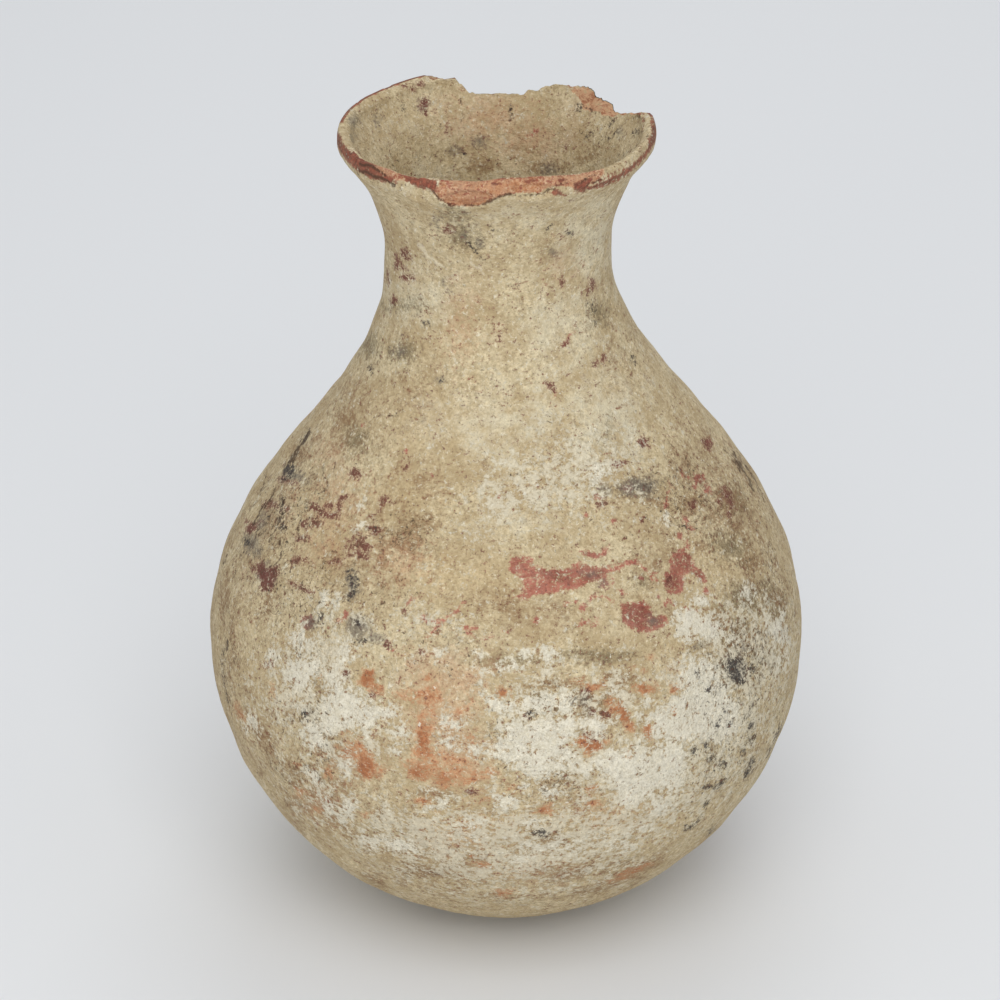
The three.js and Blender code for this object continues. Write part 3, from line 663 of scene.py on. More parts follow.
# Marks for the side that the photograph doesn't show: how many, their half sizes in millimetres, and how
# far up the jar, along its outer skin, they start and end.
unseenMarks = {
    "red": (28, 2, 11, 110, 430), "maroon": (24, 2, 7, 80, 430), "orange": (32, 5, 20, 60, 250),
    "strong": (28, 4, 12, 80, 400), "white": (36, 6, 26, 60, 250), "dark": (34, 1.5, 5, 70, 440),
    "brown": (26, 10, 34, 30, 460), "pale": (6, 20, 36, 260, 480), "ochre": (10, 18, 40, 60, 440),
    "chalk": (8, 24, 44, 60, 300), "peachy": (8, 16, 34, 60, 360), "olive": (16, 5, 12, 60, 460),
    "bruise": (18, 4, 9, 60, 460), "peppered": (12, 12, 30, 60, 400), "smudge": (26, 4, 16, 30, 440),
    "peach": (16, 2, 7, 484, 500),
}
groups = {"marks": 4, "turn": 0.16, "rise": 14, "from": -10, "to": 190}

# The red band on the lip where the photograph doesn't show it: its width, and how its edge wanders.
redBand = {"width": 6, "edge": [(16, 2.2), (5, 1.2)]}

# How squarely the skin has to face the camera for the photograph's marks, the rows of the photograph past
# which the inner skin has none, and how far down the lip's own marks go outside and on both skins.
seenFrom = {"facing": (0, 0.1), "insideRows": (178, 186), "lipOutside": 16, "lipTop": 2.5}


# How far inside the ellipse each point is, in millimetres, negative outside.
def spotInside(x, y, spot, size):
    centreX, centreY, wide, tall, turn = (*spot, 0)[:5]
    angle = math.radians(turn)
    across = ((x - centreX) * math.cos(angle) + (y - centreY) * math.sin(angle)) / wide
    up = ((y - centreY) * math.cos(angle) - (x - centreX) * math.sin(angle)) / tall
    away = np.hypot(across, up)
    gap = np.hypot(x - centreX, y - centreY)
    return np.where(away < 1, (1 - away) * min(wide, tall), gap * (1 / np.maximum(away, 1) - 1)) * size


def lineDistance(x, y, points):
    nearest = np.full(x.shape, np.inf)
    for (startX, startY), (endX, endY) in zip(points, points[1:]):
        lengthX, lengthY = endX - startX, endY - startY
        share = ((x - startX) * lengthX + (y - startY) * lengthY) / (lengthX**2 + lengthY**2)
        share = np.clip(share, 0, 1)
        nearest = np.minimum(nearest, np.hypot(x - startX - share * lengthX, y - startY - share * lengthY))
    return nearest


# A point is inside a closed outline when a level line from it crosses the outline an odd number of times.
def outlineInside(x, y, points):
    closed = points + points[:1]
    crossings = np.zeros(x.shape, int)
    for (startX, startY), (endX, endY) in zip(closed, closed[1:]):
        if startY == endY:
            continue
        spans = (y < max(startY, endY)) & (y >= min(startY, endY))
        meetX = startX + (y - startY) / (endY - startY) * (endX - startX)
        crossings += spans & (meetX > x)
    sign = np.where(crossings % 2 == 1, 1, -1)
    return sign * lineDistance(x, y, closed) * pixelSize


# One kind's field: how far into its nearest mark each point is, as a share of the reach, from -1 to 1.
def kindField(x, y, kind):
    reach = kind["reach"]
    best = np.full(x.shape, -reach, float)
    margin = reach / pixelSize

    def meet(points, inside):
        left, right = min(p[0] for p in points) - margin, max(p[0] for p in points) + margin
        top, bottom = min(p[1] for p in points) - margin, max(p[1] for p in points) + margin
        near = (x > left) & (x < right) & (y > top) & (y < bottom)
        if near.any():
            best[near] = np.maximum(best[near], inside(x[near], y[near]))

    for points in kind.get("outlines", []):
        meet(points, lambda u, v: outlineInside(u, v, points))
    for spot in kind.get("spots", []):
        most = max(spot[2], spot[3])
        box = [(spot[0] - most, spot[1] - most), (spot[0] + most, spot[1] + most)]
        meet(box, lambda u, v: spotInside(u, v, spot, pixelSize))
    for half, points in kind.get("strokes", []):
        meet(points, lambda u, v: (half - lineDistance(u, v, points)) * pixelSize)
    return np.clip(best / reach, -1, 1)


# The marks of one kind lie in groups, each group round its own centre.
def unseenField(azimuth, along, name):
    count, least, most, low, high = unseenMarks[name]
    reach = marks[name]["reach"]
    random = np.random.default_rng(sum(map(ord, name)))
    radius = np.interp(along, profile["along"], profile["radius"])
    best = np.full(along.shape, -reach, float)
    for i in range(count):
        if i % groups["marks"] == 0:
            home = math.radians(random.uniform(groups["from"], groups["to"]))
            homeLevel = random.uniform(low, high)
        centre = home + random.normal(0, groups["turn"])
        level = homeLevel + random.normal(0, groups["rise"])
        wide = random.uniform(least, most)
        tall = wide * random.uniform(0.4, 1)
        turn = (azimuth - centre + math.pi) % (2 * math.pi) - math.pi
        spot = (0, 0, wide, tall, random.uniform(-20, 20))
        best = np.maximum(best, spotInside(turn * radius, along - level, spot, 1))
    return np.clip(best / reach, -1, 1)


def bandField(along, azimuth, depth):
    lower = redBand["width"] + noiseSum(lipRing(azimuth), redBand["edge"], seeds["band"])
    below = profile["along"][-1] - along
    return np.clip(np.where(depth < 0.3, (lower - below) / marks["lipRed"]["reach"], -1), -1, 1)


# All the fields at each point: the photograph's marks where it shows the jar, and invented ones elsewhere.
# The inner skin has marks only where the mouth lets it be seen.
def markFields(points, normals, azimuth, along, depth):
    x, y = photoPixels(points)
    bentX = x + noiseSum(points, wander, seeds["wanderX"], 0)
    bentY = y + noiseSum(points, wander, seeds["wanderY"], 0)
    bentRound = azimuth + noiseSum(points, unseenWander, seeds["wanderRound"], 0) / form["bellyRadius"]
    bentAlong = along + noiseSum(points, unseenWander, seeds["wanderUp"], 0)
    towards = np.array([view["side"], -view["distance"], view["height"]]) - points
    facing = (normals * towards).sum(-1) / np.linalg.norm(towards, axis=-1)
    seen = smoothstep(facing, *seenFrom["facing"])
    seen = np.where(depth > 0.6, seen * (1 - smoothstep(y, *seenFrom["insideRows"])), seen)
    below = profile["along"][-1] - along
    onLip = (below < seenFrom["lipOutside"]) & (depth < 0.6) | (below < seenFrom["lipTop"])
    fields = {}
    for name, kind in marks.items():
        if name in lipKinds:
            near = np.where(onLip, kindField(x, y, kind), -1)
        else:
            near = kindField(bentX, bentY, kind)
        if name == "lipRed":
            far = bandField(along, azimuth, depth)
        elif name in unseenMarks:
            far = np.where(depth < 0.6, unseenField(bentRound, bentAlong, name), -1)
        else:
            far = -1
        fields[name] = near * seen + far * (1 - seen)
    return fields


# A grid closed along its rows' order, and round the jar too where it says so. Each row has its places along
# the profile, azimuths, depths, lifts and how fresh its clay is.
def gridPiece(name, rows, closedRound, material):
    along, azimuth, depth, lift, fresh = (np.stack(part) for part in zip(*rows))
    points = wallPoints(along, azimuth, depth)
    points[..., 2] += lift
    step, turn = 0.4, 0.004
    tangentUp = wallPoints(along + step, azimuth, depth) - wallPoints(along - step, azimuth, depth)
    tangentRound = wallPoints(along, azimuth + turn, depth) - wallPoints(along, azimuth - turn, depth)
    normals = np.cross(tangentRound, tangentUp)
    normals /= np.maximum(np.linalg.norm(normals, axis=-1, keepdims=True), 1e-9)
    normals = np.where((depth < 0.5)[..., None], normals, -normals)
    fields = markFields(points, normals, azimuth, along, depth)
    fields["fresh"] = fresh
    fields["seamRow"] = np.zeros(along.shape)
    fields["seamRow"][seamRows(rows)] = 1
    corner = np.arange(along.size).reshape(along.shape)
    across = np.roll(corner, -1, axis=1) if closedRound else corner[:, 1:]
    start = corner if closedRound else corner[:, :-1]
    up = np.roll(start, -1, axis=0)
    upAcross = np.roll(across, -1, axis=0)
    faces = np.stack([start, across, upAcross, up], -1).reshape(-1, 4)
    mesh = bpy.data.meshes.new(name)
    mesh.vertices.add(along.size)
    mesh.vertices.foreach_set("co", (points * millimetre).astype(np.float32).ravel())
    mesh.loops.add(faces.size)
    mesh.loops.foreach_set("vertex_index", faces.astype(np.int32).ravel())
    mesh.polygons.add(len(faces))
    mesh.polygons.foreach_set("loop_start", np.arange(0, faces.size, 4, dtype=np.int32))
    mesh.update(calc_edges=True)
    for kind, values in fields.items():
        layer = mesh.attributes.new(kind, "FLOAT", "POINT")
        layer.data.foreach_set("value", values.astype(np.float32).ravel())
    layer = mesh.attributes.new("trueNormal", "FLOAT_VECTOR", "POINT")
    layer.data.foreach_set("vector", normals.astype(np.float32).ravel())
    weld(mesh)
    keepSeamNormals(mesh)
    mesh.materials.append(material)
    piece = bpy.data.objects.new(name, mesh)
    bpy.context.scene.collection.objects.link(piece)
    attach(piece, "root")
    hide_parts(name.replace("Skin", ""))
    print("made", name, "of", 2 * len(mesh.polygons), "triangles")


# The first and last rows of each skin, where the surface runs on into the next course.
def seamRows(rows):
    depths = [row[2][0] for row in rows]
    wanted = []
    for i, value in enumerate(depths):
        neighbours = (depths[i - 1], depths[(i + 1) % len(depths)])
        if value in (0, 1) and any(other != value for other in neighbours):
            wanted.append(i)
    return wanted


def weld(mesh):
    work = bmesh.new()
    work.from_mesh(mesh)
    bmesh.ops.remove_doubles(work, verts=work.verts, dist=2e-6)
    bmesh.ops.dissolve_degenerate(work, dist=1e-7, edges=work.edges)
    bmesh.ops.recalc_face_normals(work, faces=work.faces)
    work.to_mesh(mesh)
    work.free()


# On the seam rows, the wall's own direction replaces the mesh's, so that no seam shows as a crease.
def keepSeamNormals(mesh):
    count = len(mesh.vertices)
    own = np.zeros(count * 3, np.float32)
    mesh.vertex_normals.foreach_get("vector", own)
    true = np.zeros(count * 3, np.float32)
    mesh.attributes["trueNormal"].data.foreach_get("vector", true)
    edge = np.zeros(count, np.float32)
    mesh.attributes["seamRow"].data.foreach_get("value", edge)
    normals = np.where(edge[:, None] > 0.5, true.reshape(-1, 3), own.reshape(-1, 3))
    mesh.polygons.foreach_set("use_smooth", np.ones(len(mesh.polygons), bool))
    mesh.normals_split_custom_set_from_vertices(normals.tolist())
    for name in ("trueNormal", "seamRow"):
        mesh.attributes.remove(mesh.attributes[name])


def ringRows(fromAlong, toAlong, spacing, depth, azimuth):
    count = max(2, int(round(np.abs(toAlong - fromAlong).max() / spacing)))
    shares = np.linspace(0, 1, count + 1)
    return [plainRow(fromAlong + (toAlong - fromAlong) * share, azimuth, depth) for share in shares]


def plainRow(along, azimuth, depth, lift=0.0, fresh=0.0):
    full = np.ones(azimuth.shape)
    return along * full, azimuth, depth * full, lift * full, fresh * full


# The wall's top between its two skins: a rounded crown where the lip is whole, a rough face where it broke.
def topRows(outer, inner, azimuth, broken, crown, rough):
    rows = []
    for share in np.linspace(0, 1, grid["topRows"] + 1)[1:-1]:
        grain = noiseSum(lipRing(azimuth, share * 0.08), breakGrain, seeds["grain"])
        lift = math.sin(math.pi * share) * (crown * (1 - broken) + grain * rough * broken)
        bare = roundAt(azimuth, freshClay) * broken * rough
        rows.append(plainRow(outer + (inner - outer) * share, azimuth, share, lift, bare))
    return rows


def buildCourses(materials):
    azimuth = np.linspace(0, 2 * math.pi, grid["columns"], endpoint=False)
    full = np.ones(grid["columns"])
    outerEdge, innerEdge, broken = rimEdge(azimuth)
    seams = [0.0] + [float(alongAtHeight(height)) for height in courses.values()]
    for i, name in enumerate(list(courses)[:-1]):
        low, high = seams[i], seams[i + 1]
        outerTop, innerTop, top = high * full, (high - lapDrop) * full, []
        innerLow = low - (lapDrop if i else 0)
        spacing = grid["rowSpacing"] if i else grid["footRowSpacing"]
        if name == "mouth_flare":
            outerTop, innerTop = np.minimum(high, outerEdge), np.minimum(high, innerEdge)
            top = topRows(outerTop, innerTop, azimuth, (outerEdge < high) * 1.0, 0, 1.0)
            spacing = grid["flareRowSpacing"]
        outer = ringRows(low * full, outerTop, spacing, 0, azimuth)
        inner = ringRows(innerTop, innerLow * full, grid["innerRowSpacing"], 1, azimuth)
        rows = outer + top + inner
        if i == 0:
            rows = footRows(azimuth, low, 0) + rows + footRows(azimuth, innerLow, 1)[::-1]
        gridPiece(name + "Skin", rows, True, materials["clay"])
    buildLip(azimuth, outerEdge, innerEdge, broken, seams[-2], materials["lip"])


# The disc under the jar (depth 0) and the middle of its floor (depth 1), as rings that grow from the axis.
def footRows(azimuth, edge, depth):
    steps = np.linspace(-form["footRadius"], edge, grid["footRings"])[:-1]
    return [plainRow(step, azimuth, depth) for step in steps]


# A row sunk by how near it is to the lip's inner edge, so that the edge is worn round.
def softened(row, away, whole):
    along, azimuth, depth, lift, fresh = row
    near = np.clip(1 - away / softEdge["reach"], 0, 1)
    return along, azimuth, depth, lift - softEdge["sink"] * near**2 * whole, fresh


# The lip lies on the flare from one end of the break round the front to the other end.
def buildLip(azimuth, outerEdge, innerEdge, broken, flareTop, material):
    kept = np.flatnonzero((outerEdge > flareTop) | (innerEdge > flareTop))
    gap = np.flatnonzero(np.diff(kept) > 1)
    order = np.concatenate([kept[gap[0] + 1:], kept[:gap[0] + 1]]) if len(gap) else kept
    columns = np.concatenate([[order[0] - 1], order, [order[-1] + 1]]) % grid["columns"]
    turn = azimuth[columns]
    outerTop = np.maximum(outerEdge[columns], flareTop)
    innerTop = np.maximum(innerEdge[columns], flareTop)
    outerTop[[0, -1]] = innerTop[[0, -1]] = flareTop
    base = np.full(turn.shape, flareTop)
    outer = ringRows(base, outerTop, grid["lipRowSpacing"], 0, turn)
    inner = ringRows(innerTop, base, grid["lipRowSpacing"], 1, turn)
    height = smoothstep(outerTop - flareTop, 0, 2)
    whole = height * (1 - broken[columns])
    crown = (form["lipCrown"] + roundAt(turn, frontCrown)) * height
    top = topRows(outerTop, innerTop, turn, broken[columns], crown, height)
    thickness = walls[-1][1]
    top = [softened(row, thickness * (1 - row[2][0]), whole) for row in top]
    inner = [softened(row, innerTop - row[0], whole) for row in inner]
    shares = np.linspace(1, 0, grid["topRows"] + 1)[1:-1]
    under = [plainRow(base, turn, share) for share in shares]
    gridPiece("lip_coilSkin", outer + top + inner + under, False, material)


# Colours as they look in the photograph, from 0 to 255.
palette = {
    "cream": (202, 186, 151), "tan": (178, 157, 120), "brown": (146, 119, 86), "shade": (124, 100, 72),
    "fleck": (226, 216, 190), "ochre": (184, 156, 110), "olive": (116, 103, 76), "rose": (184, 148, 122),
    "pale": (212, 202, 174), "white": (224, 217, 198), "chalk": (210, 200, 176), "orange": (190, 136, 96),
    "orangeDeep": (160, 100, 64), "peachy": (194, 154, 118), "red": (164, 92, 78), "redDeep": (124, 54, 48),
    "redLight": (192, 122, 104), "maroon": (104, 55, 48), "dark": (58, 54, 54), "bruise": (118, 111, 99),
    "mauve": (150, 102, 92), "speck": (92, 74, 54), "pit": (84, 72, 56), "crackAndShadow": (74, 58, 44),
    "lipRed": (104, 52, 43), "lipRedLight": (148, 84, 66), "peach": (182, 138, 106),
    "peachLight": (210, 174, 140), "fresh": (186, 146, 112), "freshDeep": (150, 102, 74),
}

# The noises of the finish: the size of their lumps in millimetres, detail and roughness, then how far they
# warp, where they are moved to, and how much lower than wide their lumps are.
grains = {
    "finest": {"size": 0.8, "detail": 1, "rough": 0.6, "shift": 0.3},
    "fine": {"size": 1.5, "detail": 2, "rough": 0.7, "shift": 0.9},
    "other": {"size": 1.9, "detail": 2, "rough": 0.75, "warp": 0.6, "shift": 1.7},
    "small": {"size": 4.2, "detail": 3, "rough": 0.7, "shift": 2.1},
    "wormy": {"size": 3, "detail": 1, "rough": 0.5, "warp": 2.2, "shift": 3.3},
    "middle": {"size": 10, "detail": 4, "rough": 0.7, "shift": 4.5},
    "broad": {"size": 27, "detail": 4, "rough": 0.65, "warp": 0.5, "shift": 5.1},
    "wide": {"size": 60, "detail": 3, "rough": 0.55, "shift": 6.3},
    "streak": {"size": 6, "detail": 4, "rough": 0.75, "shift": 7.7, "flat": 3.6},
    "every": {"size": 2.4, "detail": 2, "rough": 0.9, "shift": 8.9},
    "stain": {"size": 14, "detail": 5, "rough": 0.8, "warp": 0.4, "shift": 10.3},
    "thread": {"size": 2.6, "detail": 2, "rough": 0.6, "warp": 1.6, "shift": 9.7},
    "hair": {"size": 6.5, "detail": 3, "rough": 0.7, "warp": 1.2, "shift": 12.1, "flat": 0.4},
}
folded = ("thread", "hair")  # only how far they are from 0 counts, so that they are least along thin lines

# Dots, each in a cell of a size in millimetres, and where they are moved to.
dotted = {"pepper": (2.6, 3.7), "spots": (5.5, 6.1), "flakes": (3.2, 8.3), "pits": (5.2, 14.7)}

# Sums that more than one coat uses. Each has noises, dots, other sums and kinds of mark with their weights.
mixtures = {
    "ragged": {"fine": 0.5, "other": 0.35, "small": 0.5},
    "smudgeAndShade": {"smudge": 1, "ragged": 0.7, "streak": 0.7},
    "bared": {"orange": 1, "ragged": 0.8, "middle": 0.3, "streak": 0.6, "strong": 0.45},
    "bruised": {"bruise": 1, "ragged": 0.7},
    "painted": {"maroon": 1.1, "ragged": 0.75, "thread": -1.35},
    "chalky": {"chalk": 0.75, "other": -0.6, "small": -0.5, "streak": -0.4, "middle": 0.5, "orange": -0.45},
    "crusted": {"white": 0.95, "ragged": -0.85, "small": -0.3, "middle": 0.4, "orange": -0.35},
    "pitted": {"pits": 1, "white": 0.07, "peppered": 0.04, "ragged": 0.08},
    "dusty": {"peppered": 0.05, "brown": 0.02, "pale": -0.03, "middle": 0.02},
    "specks": {"other": 0.6, "finest": 0.4, "small": 0.4, "peppered": 0.35, "brown": 0.25, "pale": -0.15},
    "worms": {"wormy": 0.8, "fine": 0.3, "peppered": 0.32, "white": -0.12},
    "lines": {"line": 1.1, "ragged": 0.6},
}

# A coat is a colour, the sum that places it, the values of that sum between which it comes in, and its
# strength at the end of them. A tint is a colour with coats of its own, and stands for a colour in a coat.
tints = {
    "orangeClay": ("orangeDeep", [
        ("orange", {"small": 0.5, "fine": 0.5, "streak": 0.3, "strong": -0.6}, -1, 0.6, 1),
        ("peachLight", {"other": 0.8, "streak": -0.4}, 0.3, 1.4, 0.5),
    ]),
    "redPaint": ("redDeep", [
        ("red", {"streak": 0.8, "fine": 0.6, "strong": -0.8}, -0.9, 0.7, 1),
        ("redLight", {"other": 0.7, "streak": 0.6, "strong": -0.4}, 0.3, 1.2, 0.8),
        ("mauve", {"streak": 0.5, "middle": 0.5, "other": 0.4}, -0.1, 1.2, 0.8),
    ]),
    "maroonPaint": ("maroon", [("speck", {"other": 0.6, "small": 0.5}, 0, 1.2, 0.7)]),
    "crust": ("chalk", [("white", {"finest": 0.5, "small": 0.6}, -1, 0.4, 1)]),
    "lipPaint": ("lipRed", [
        ("lipRedLight", {"small": 0.7, "fine": 0.6}, -0.5, 0.8, 1),
        ("peach", {"other": 0.7, "small": 0.5}, 0.5, 1.4, 0.7),
        ("pit", {"streak": 0.6, "fine": 0.5}, 0.4, 1.4, 0.6),
    ]),
    "lipClay": ("peach", [
        ("peachLight", {"small": 0.7, "other": 0.5, "middle": 0.3}, -0.3, 0.8, 1),
        ("orange", {"small": -0.5, "middle": 0.6, "fine": 0.3}, -0.3, 0.7, 0.8),
        ("orangeDeep", {"wormy": 0.5, "middle": 0.4, "fine": 0.5}, -0.2, 0.9, 0.75),
        ("rose", {"small": -0.6, "broad": 0.4, "fine": 0.3}, 0.1, 1, 0.6),
        ("lipRedLight", {"wormy": -0.6, "small": 0.5, "fine": 0.4}, 0, 0.9, 0.85),
        ("speck", {"other": 0.7, "streak": 0.5}, 0.7, 1.6, 0.6),
    ]),
    "newClay": ("fresh", [
        ("freshDeep", {"small": 0.6, "other": 0.6}, -0.2, 1, 1),
        ("tan", {"small": -0.6, "fine": 0.6}, 0.1, 1, 0.9),
        ("peachLight", {"wormy": -0.6, "fine": 0.5}, 0.5, 1.3, 0.8),
    ]),
}
coats = [
    # The slip: tan and cream, with browner, ochre and rosy clouds.
    ("cream", {"broad": 0.5, "middle": 0.5, "every": 0.35}, -0.9, 0.9, 1),
    ("rose", {"wide": 0.6, "middle": 0.4, "peachy": 0.5}, -0.1, 1.3, 0.45),
    ("ochre", {"ochre": 1, "middle": 0.6, "small": 0.2}, -0.4, 1.2, 0.45),
    ("pale", {"pale": 1, "middle": 0.5, "small": 0.3, "fine": 0.2}, -0.3, 1.2, 0.7),
    # Over the bottom this brown is partly painted shadow of the rough relief.
    ("brown", {"brown": 0.8, "middle": 0.5, "small": 0.4, "streak": 0.4}, -0.1, 1.3, 0.85),
    ("brown", {"stain": 0.9, "fine": 0.3, "brown": 0.5, "pale": -0.3}, 0.1, 1.6, 0.8),
    ("olive", {"olive": 1, "small": 0.4, "fine": 0.4}, -0.5, 0.8, 0.75),
    # The smudges' brown, with darker shade in their middles: painted shade low inside the mouth, partly
    # painted shadow of the bottom's rough relief, and brown streaks elsewhere.
    ("brown", {"smudgeAndShade": 1}, -0.7, 0.8, 0.8),
    ("shade", {"smudgeAndShade": 1}, 0.6, 1.8, 0.5),
    ("shade", {"fine": 0.6, "streak": 0.5}, 0.2, 1.4, 0.6),
    ("fleck", {"other": -0.8, "finest": 0.3}, 0.45, 1.4, 0.38),

    # What wear has bared or paint has left: orange clay, then red and maroon paint.
    ("peachy", {"peachy": 0.9, "small": 0.6, "fine": 0.4}, -0.2, 1.4, 0.5),
    ("orangeClay", {"bared": 1}, -0.6, 1.6, 0.95),
    ("orangeDeep", {"bared": 1, "stain": 0.5}, 0.8, 2.2, 0.7),
    ("fleck", {"other": -0.7, "streak": 0.5, "finest": 0.3}, 0.45, 1.4, 0.5),
    ("redPaint", {"red": 1, "ragged": 0.85, "thread": -0.6, "streak": 0.35}, -0.6, 0.9, 0.88),
    ("bruise", {"bruised": 1}, -0.6, 0.9, 0.72),
    ("dark", {"bruised": 1}, 0.6, 1.9, 0.4),
    ("mauve", {"painted": 1}, -1.3, -0.1, 0.4),
    ("maroonPaint", {"painted": 1}, -1, 0.35, 0.85),
    ("maroon", {"thread": -1.5, "stain": 0.6, "small": 0.5, "fine": 0.3, "brown": 0.25, "pale": -0.2},
     0.7, 1.35, 0.65),

    # White crust, thin over the chalky parts and thick where a white mark is, with flakes and pits.
    ("chalk", {"chalky": 1}, 0.5, 1.4, 0.8),
    ("crust", {"crusted": 1}, 0.05, 1.15, 0.93),
    ("white", {"other": -0.7, "finest": -0.4, "small": -0.3}, 1, 1.5, 0.7),
    ("white", {"flakes": 1, "chalk": 0.08, "streak": 0.05, "ragged": 0.03}, 0.04, 0.12, 0.85),
    ("brown", {"pitted": 1}, 0.04, 0.14, 0.65),
    ("olive", {"pitted": 1, "small": 0.03}, 0.12, 0.2, 0.6),

    # Dark stains, pepper specks, fine cracks and scratches.
    ("dark", {"dark": 0.9, "ragged": 0.8, "thread": -0.9}, -0.8, 0.4, 0.9),
    ("speck", {"pepper": 1, "dusty": 1}, 0.03, 0.11, 0.7),
    ("crackAndShadow", {"spots": 1, "dusty": 1}, 0.09, 0.15, 0.75),
    ("crackAndShadow", {"hair": -1, "peppered": 0.08, "brown": 0.05, "stain": 0.12}, -0.1, 0.12, 0.7),
    ("speck", {"specks": 1}, 0.9, 1.7, 0.8),
    ("pit", {"worms": 1}, 0.95, 1.5, 0.7),
    ("dark", {"worms": 1}, 1.45, 1.9, 0.6),
    ("fleck", {"scratch": 1, "ragged": 0.8}, -0.2, 0.9, 0.5),

    # The lip's bared clay and paint, the fresh clay of the break, and the cracks over them all, with painted
    # shadow along the lower edge of the lip's front scars.
    ("lipClay", {"peach": 1, "ragged": 0.5}, -0.3, 0.5, 0.95),
    ("lipPaint", {"lipRed": 1, "ragged": 0.9, "streak": 0.3}, -0.5, 0.8, 0.88),
    ("newClay", {"fresh": 1, "ragged": 0.25}, 0.3, 0.7, 1),
    ("crackAndShadow", {"lines": 1}, -0.2, 0.8, 0.78),
]

# How the finest noises lighten and darken every colour, more in some broad parts than in others.
shading = {"grain": {"every": 0.12, "finest": 0.03}, "least": 0.4, "most": 1.3}

# The relief under the light: noises with their weights, then sums that raise it or sink it, with the values
# between which they do and by how much. The crust stands proud, and specks, worms and cracks are sunk.
relief = {"fine": 0.16, "other": -0.1, "small": 0.3, "middle": 0.3, "every": 0.3, "streak": 0.2}
reliefSteps = [
    ("crusted", 0.05, 1.15, 0.5), ("chalky", 0.5, 1.4, 0.9), ("specks", 0.6, 1.3, -0.5),
    ("worms", 0.8, 1.6, -0.7), ("lines", -0.2, 0.8, -0.7),
]
surface = {"bump": 0.7, "bumpHeight": 0.0004, "roughLeast": 0.84, "roughMost": 0.98, "specular": 0.22}


def linear(name):
    channels = []
    for value in palette[name]:
        share = value / 255
        channels.append(share / 12.92 if share <= 0.04045 else ((share + 0.055) / 1.055) ** 2.4)
    return (*channels, 1)


# Small helpers that add a node, wire its inputs and give back its output.
class Nodes:
    def __init__(self, name):
        self.material = bpy.data.materials.new(name)
        self.material.use_nodes = True
        self.tree = self.material.node_tree
        self.tree.nodes.clear()
        self.place = self.add("ShaderNodeTexCoord").outputs["Object"]
        self.values = {}

    def add(self, kind, **settings):
        node = self.tree.nodes.new(kind)
        for key, value in settings.items():
            setattr(node, key, value)
        return node

    def wire(self, node, name, value):
        socket = node.inputs[name]
        if isinstance(value, bpy.types.NodeSocket):
            self.tree.links.new(value, socket)
        elif isinstance(value, str):
            socket.default_value = linear(value)
        else:
            socket.default_value = value

    def math(self, operation, a, b=0.0):
        node = self.add("ShaderNodeMath", operation=operation)
        self.wire(node, 0, a)
        self.wire(node, 1, b)
        return node.outputs[0]

    # A noise, dots or a sum by its name. Any other name is a kind of mark, which the mesh holds.
    def value(self, name):
        if name not in self.values:
            if name in grains:
                made = self.grain(**grains[name])
                made = self.math("ABSOLUTE", made) if name in folded else made
            elif name in dotted:
                made = self.dots(*dotted[name])
            elif name in mixtures:
                made = self.sum(mixtures[name])
            else:
                made = self.add("ShaderNodeAttribute", attribute_name=name).outputs["Fac"]
            self.values[name] = made
        return self.values[name]

    # Named values, each times its weight, added up.
    def sum(self, weights):
        total = None
        for name, weight in weights.items():
            part = self.value(name) if weight == 1 else self.math("MULTIPLY", self.value(name), weight)
            total = part if total is None else self.math("ADD", total, part)
        return total

    # Noise spread to about -1 to 1, with lumps of a size in millimetres.
    def grain(self, size, detail, rough, shift, warp=0.0, flat=1.0):
        node = self.add("ShaderNodeTexNoise")
        self.wire(node, "Vector", self.moved(self.place, shift, flat))
        self.wire(node, "Scale", 1 / (size * millimetre))
        self.wire(node, "Detail", detail)
        self.wire(node, "Roughness", rough)
        self.wire(node, "Distortion", warp)
        return self.math("MULTIPLY", self.math("SUBTRACT", node.outputs["Fac"], 0.5), 6.5)

    # Separate dots, each in its own cell: above 0 inside a dot. About two cells in five have one, and the
    # shape is bent by a noise's colour.
    def dots(self, size, shift):
        bend = self.add("ShaderNodeTexNoise")
        self.wire(bend, "Vector", self.place)
        self.wire(bend, "Scale", 2 / (size * millimetre))
        bent = self.add("ShaderNodeVectorMath", operation="MULTIPLY_ADD")
        self.wire(bent, 0, bend.outputs["Color"])
        self.wire(bent, 1, [size * millimetre * 0.9] * 3)
        self.wire(bent, 2, self.place)
        cell = self.add("ShaderNodeTexVoronoi")
        self.wire(cell, "Vector", self.moved(bent.outputs[0], shift))
        self.wire(cell, "Scale", 1 / (size * millimetre))
        radius = self.math("MULTIPLY", self.math("SUBTRACT", cell.outputs["Color"], 0.55), 0.7)
        return self.math("SUBTRACT", radius, cell.outputs["Distance"])

    def moved(self, place, shift, flat=1.0):
        move = self.add("ShaderNodeMapping")
        self.wire(move, "Vector", place)
        self.wire(move, "Location", (shift, shift * 0.7, shift * 1.3))
        self.wire(move, "Scale", (1, 1, flat))
        return move.outputs[0]

    def ramp(self, value, low, high, toLow=0.0, toHigh=1.0):
        node = self.add("ShaderNodeMapRange", interpolation_type="SMOOTHSTEP")
        names = ("Value", "From Min", "From Max", "To Min", "To Max")
        for name, amount in zip(names, (value, low, high, toLow, toHigh)):
            self.wire(node, name, amount)
        return node.outputs[0]

    # A colour with its coats laid over it in turn.
    def coated(self, colour, layers):
        for over, weights, low, high, strength in layers:
            node = self.add("ShaderNodeMix", data_type="RGBA")
            self.wire(node, 0, self.ramp(self.sum(weights), low, high, 0.0, strength))
            self.wire(node, 6, colour)
            self.wire(node, 7, self.coated(*tints[over]) if over in tints else over)
            colour = node.outputs[2]
        return colour


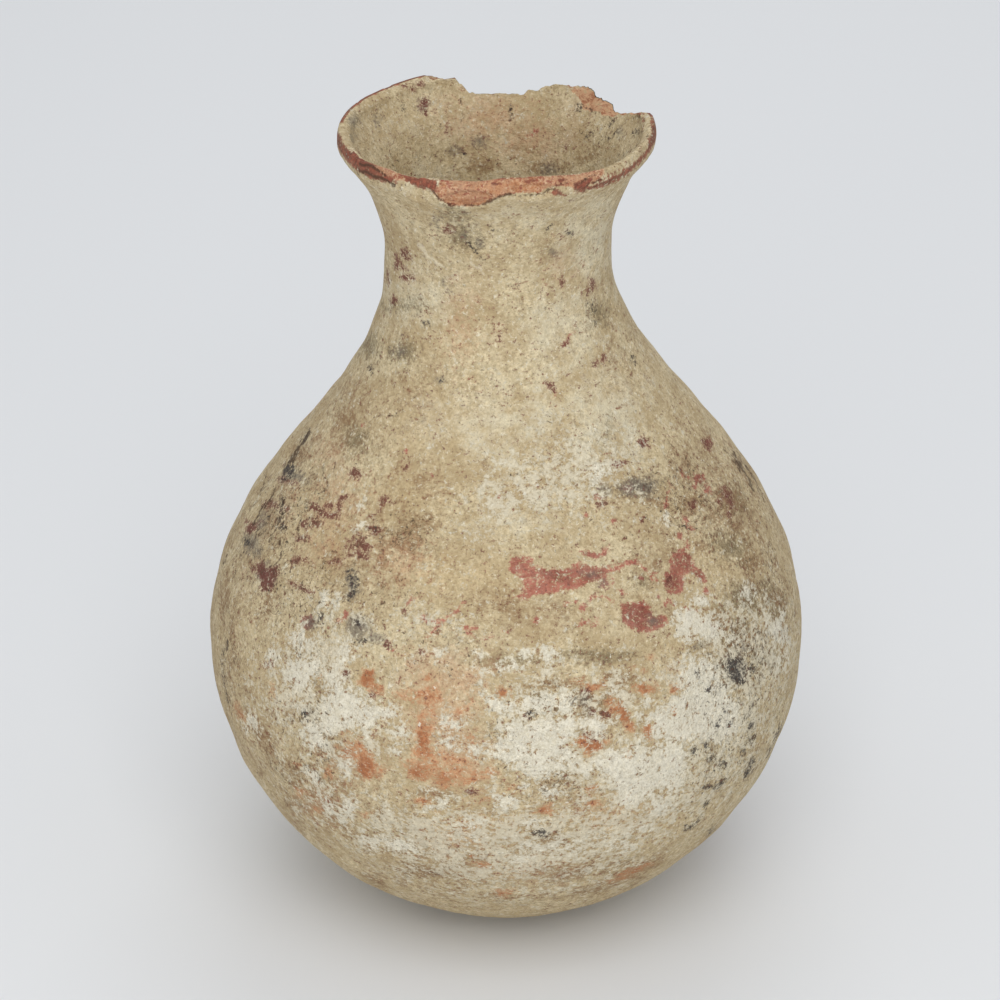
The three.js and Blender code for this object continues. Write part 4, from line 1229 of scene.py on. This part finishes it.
def clayMaterial(name):
    n = Nodes(name)
    uneven = n.ramp(n.value("broad"), -1, 1, shading["least"], shading["most"])
    uneven = n.math("MULTIPLY", n.sum(shading["grain"]), uneven)
    colour = n.add("ShaderNodeVectorMath", operation="SCALE")
    n.wire(colour, 0, n.coated("tan", coats))
    n.wire(colour, "Scale", n.math("ADD", uneven, 1.0))
    height = n.sum(relief)
    for value, low, high, lift in reliefSteps:
        height = n.math("ADD", height, n.ramp(n.value(value), low, high, 0.0, lift))
    bump = n.add("ShaderNodeBump")
    n.wire(bump, "Height", height)
    n.wire(bump, "Strength", surface["bump"])
    n.wire(bump, "Distance", surface["bumpHeight"])
    shader = n.add("ShaderNodeBsdfPrincipled")
    n.wire(shader, "Base Color", colour.outputs[0])
    n.wire(shader, "Roughness", n.ramp(n.value("small"), -1, 1, surface["roughLeast"], surface["roughMost"]))
    n.wire(shader, "Specular IOR Level", surface["specular"])
    n.wire(shader, "Normal", bump.outputs[0])
    output = n.add("ShaderNodeOutputMaterial")
    n.wire(output, "Surface", shader.outputs[0])
    print("finish", name, "of", len(n.tree.nodes), "nodes")
    return n.material


# The pale floor and soft light of the photograph, in metres and watts.
studio = {
    "floorSize": 12, "floorPlace": (0, 3, 0), "floorColour": (0.78, 0.79, 0.8, 1), "floorRough": 0.95,
    "sky": (0.95, 0.97, 1, 1), "skyPower": 0.62, "aim": (0, 0, 0.18),
}
lamps = {
    "key": {"place": (0.1, -1.4, 2.1), "size": 1.6, "power": 21},
    "fill": {"place": (-0.3, -2.0, 0.5), "size": 1.2, "power": 9},
    "back": {"place": (0.2, 1.6, 1.8), "size": 1.4, "power": 8},
}


def buildStage():
    bpy.ops.mesh.primitive_plane_add(size=studio["floorSize"], location=studio["floorPlace"])
    floor = bpy.context.object
    floor.name = "floor"
    material = bpy.data.materials.new("floorPaper")
    material.use_nodes = True
    shader = material.node_tree.nodes["Principled BSDF"]
    shader.inputs["Base Color"].default_value = studio["floorColour"]
    shader.inputs["Roughness"].default_value = studio["floorRough"]
    floor.data.materials.append(material)


def buildLights():
    for name, lamp in lamps.items():
        data = bpy.data.lights.new(name, "AREA")
        data.size = lamp["size"]
        data.energy = lamp["power"]
        light = bpy.data.objects.new(name, data)
        light.location = lamp["place"]
        light.rotation_euler = directionTurn(np.array(studio["aim"]) - lamp["place"])
        bpy.context.scene.collection.objects.link(light)
    world = bpy.data.worlds.new("studio")
    world.use_nodes = True
    background = world.node_tree.nodes["Background"]
    background.inputs["Color"].default_value = studio["sky"]
    background.inputs["Strength"].default_value = studio["skyPower"]
    bpy.context.scene.world = world
    print("lit by", len(lamps), "lamps")


def directionTurn(direction):
    x, y, z = direction
    return (math.atan2(math.hypot(x, y), -z), 0, math.atan2(x, -y) + math.pi)


def buildCamera():
    data = bpy.data.cameras.new("photoView")
    data.lens = view["lens"]
    data.sensor_width = view["sensor"]
    camera = bpy.data.objects.new("photoView", data)
    camera.location = (view["side"] * millimetre, -view["distance"] * millimetre, view["height"] * millimetre)
    camera.rotation_euler = (math.radians(90 - view["down"]), 0, 0)
    bpy.context.scene.collection.objects.link(camera)
    bpy.context.scene.camera = camera


buildCamera()
buildCourses({"clay": clayMaterial("slippedClay"), "lip": clayMaterial("redLip")})
buildStage()
buildLights()
bpy.context.scene.view_settings.view_transform = "Standard"
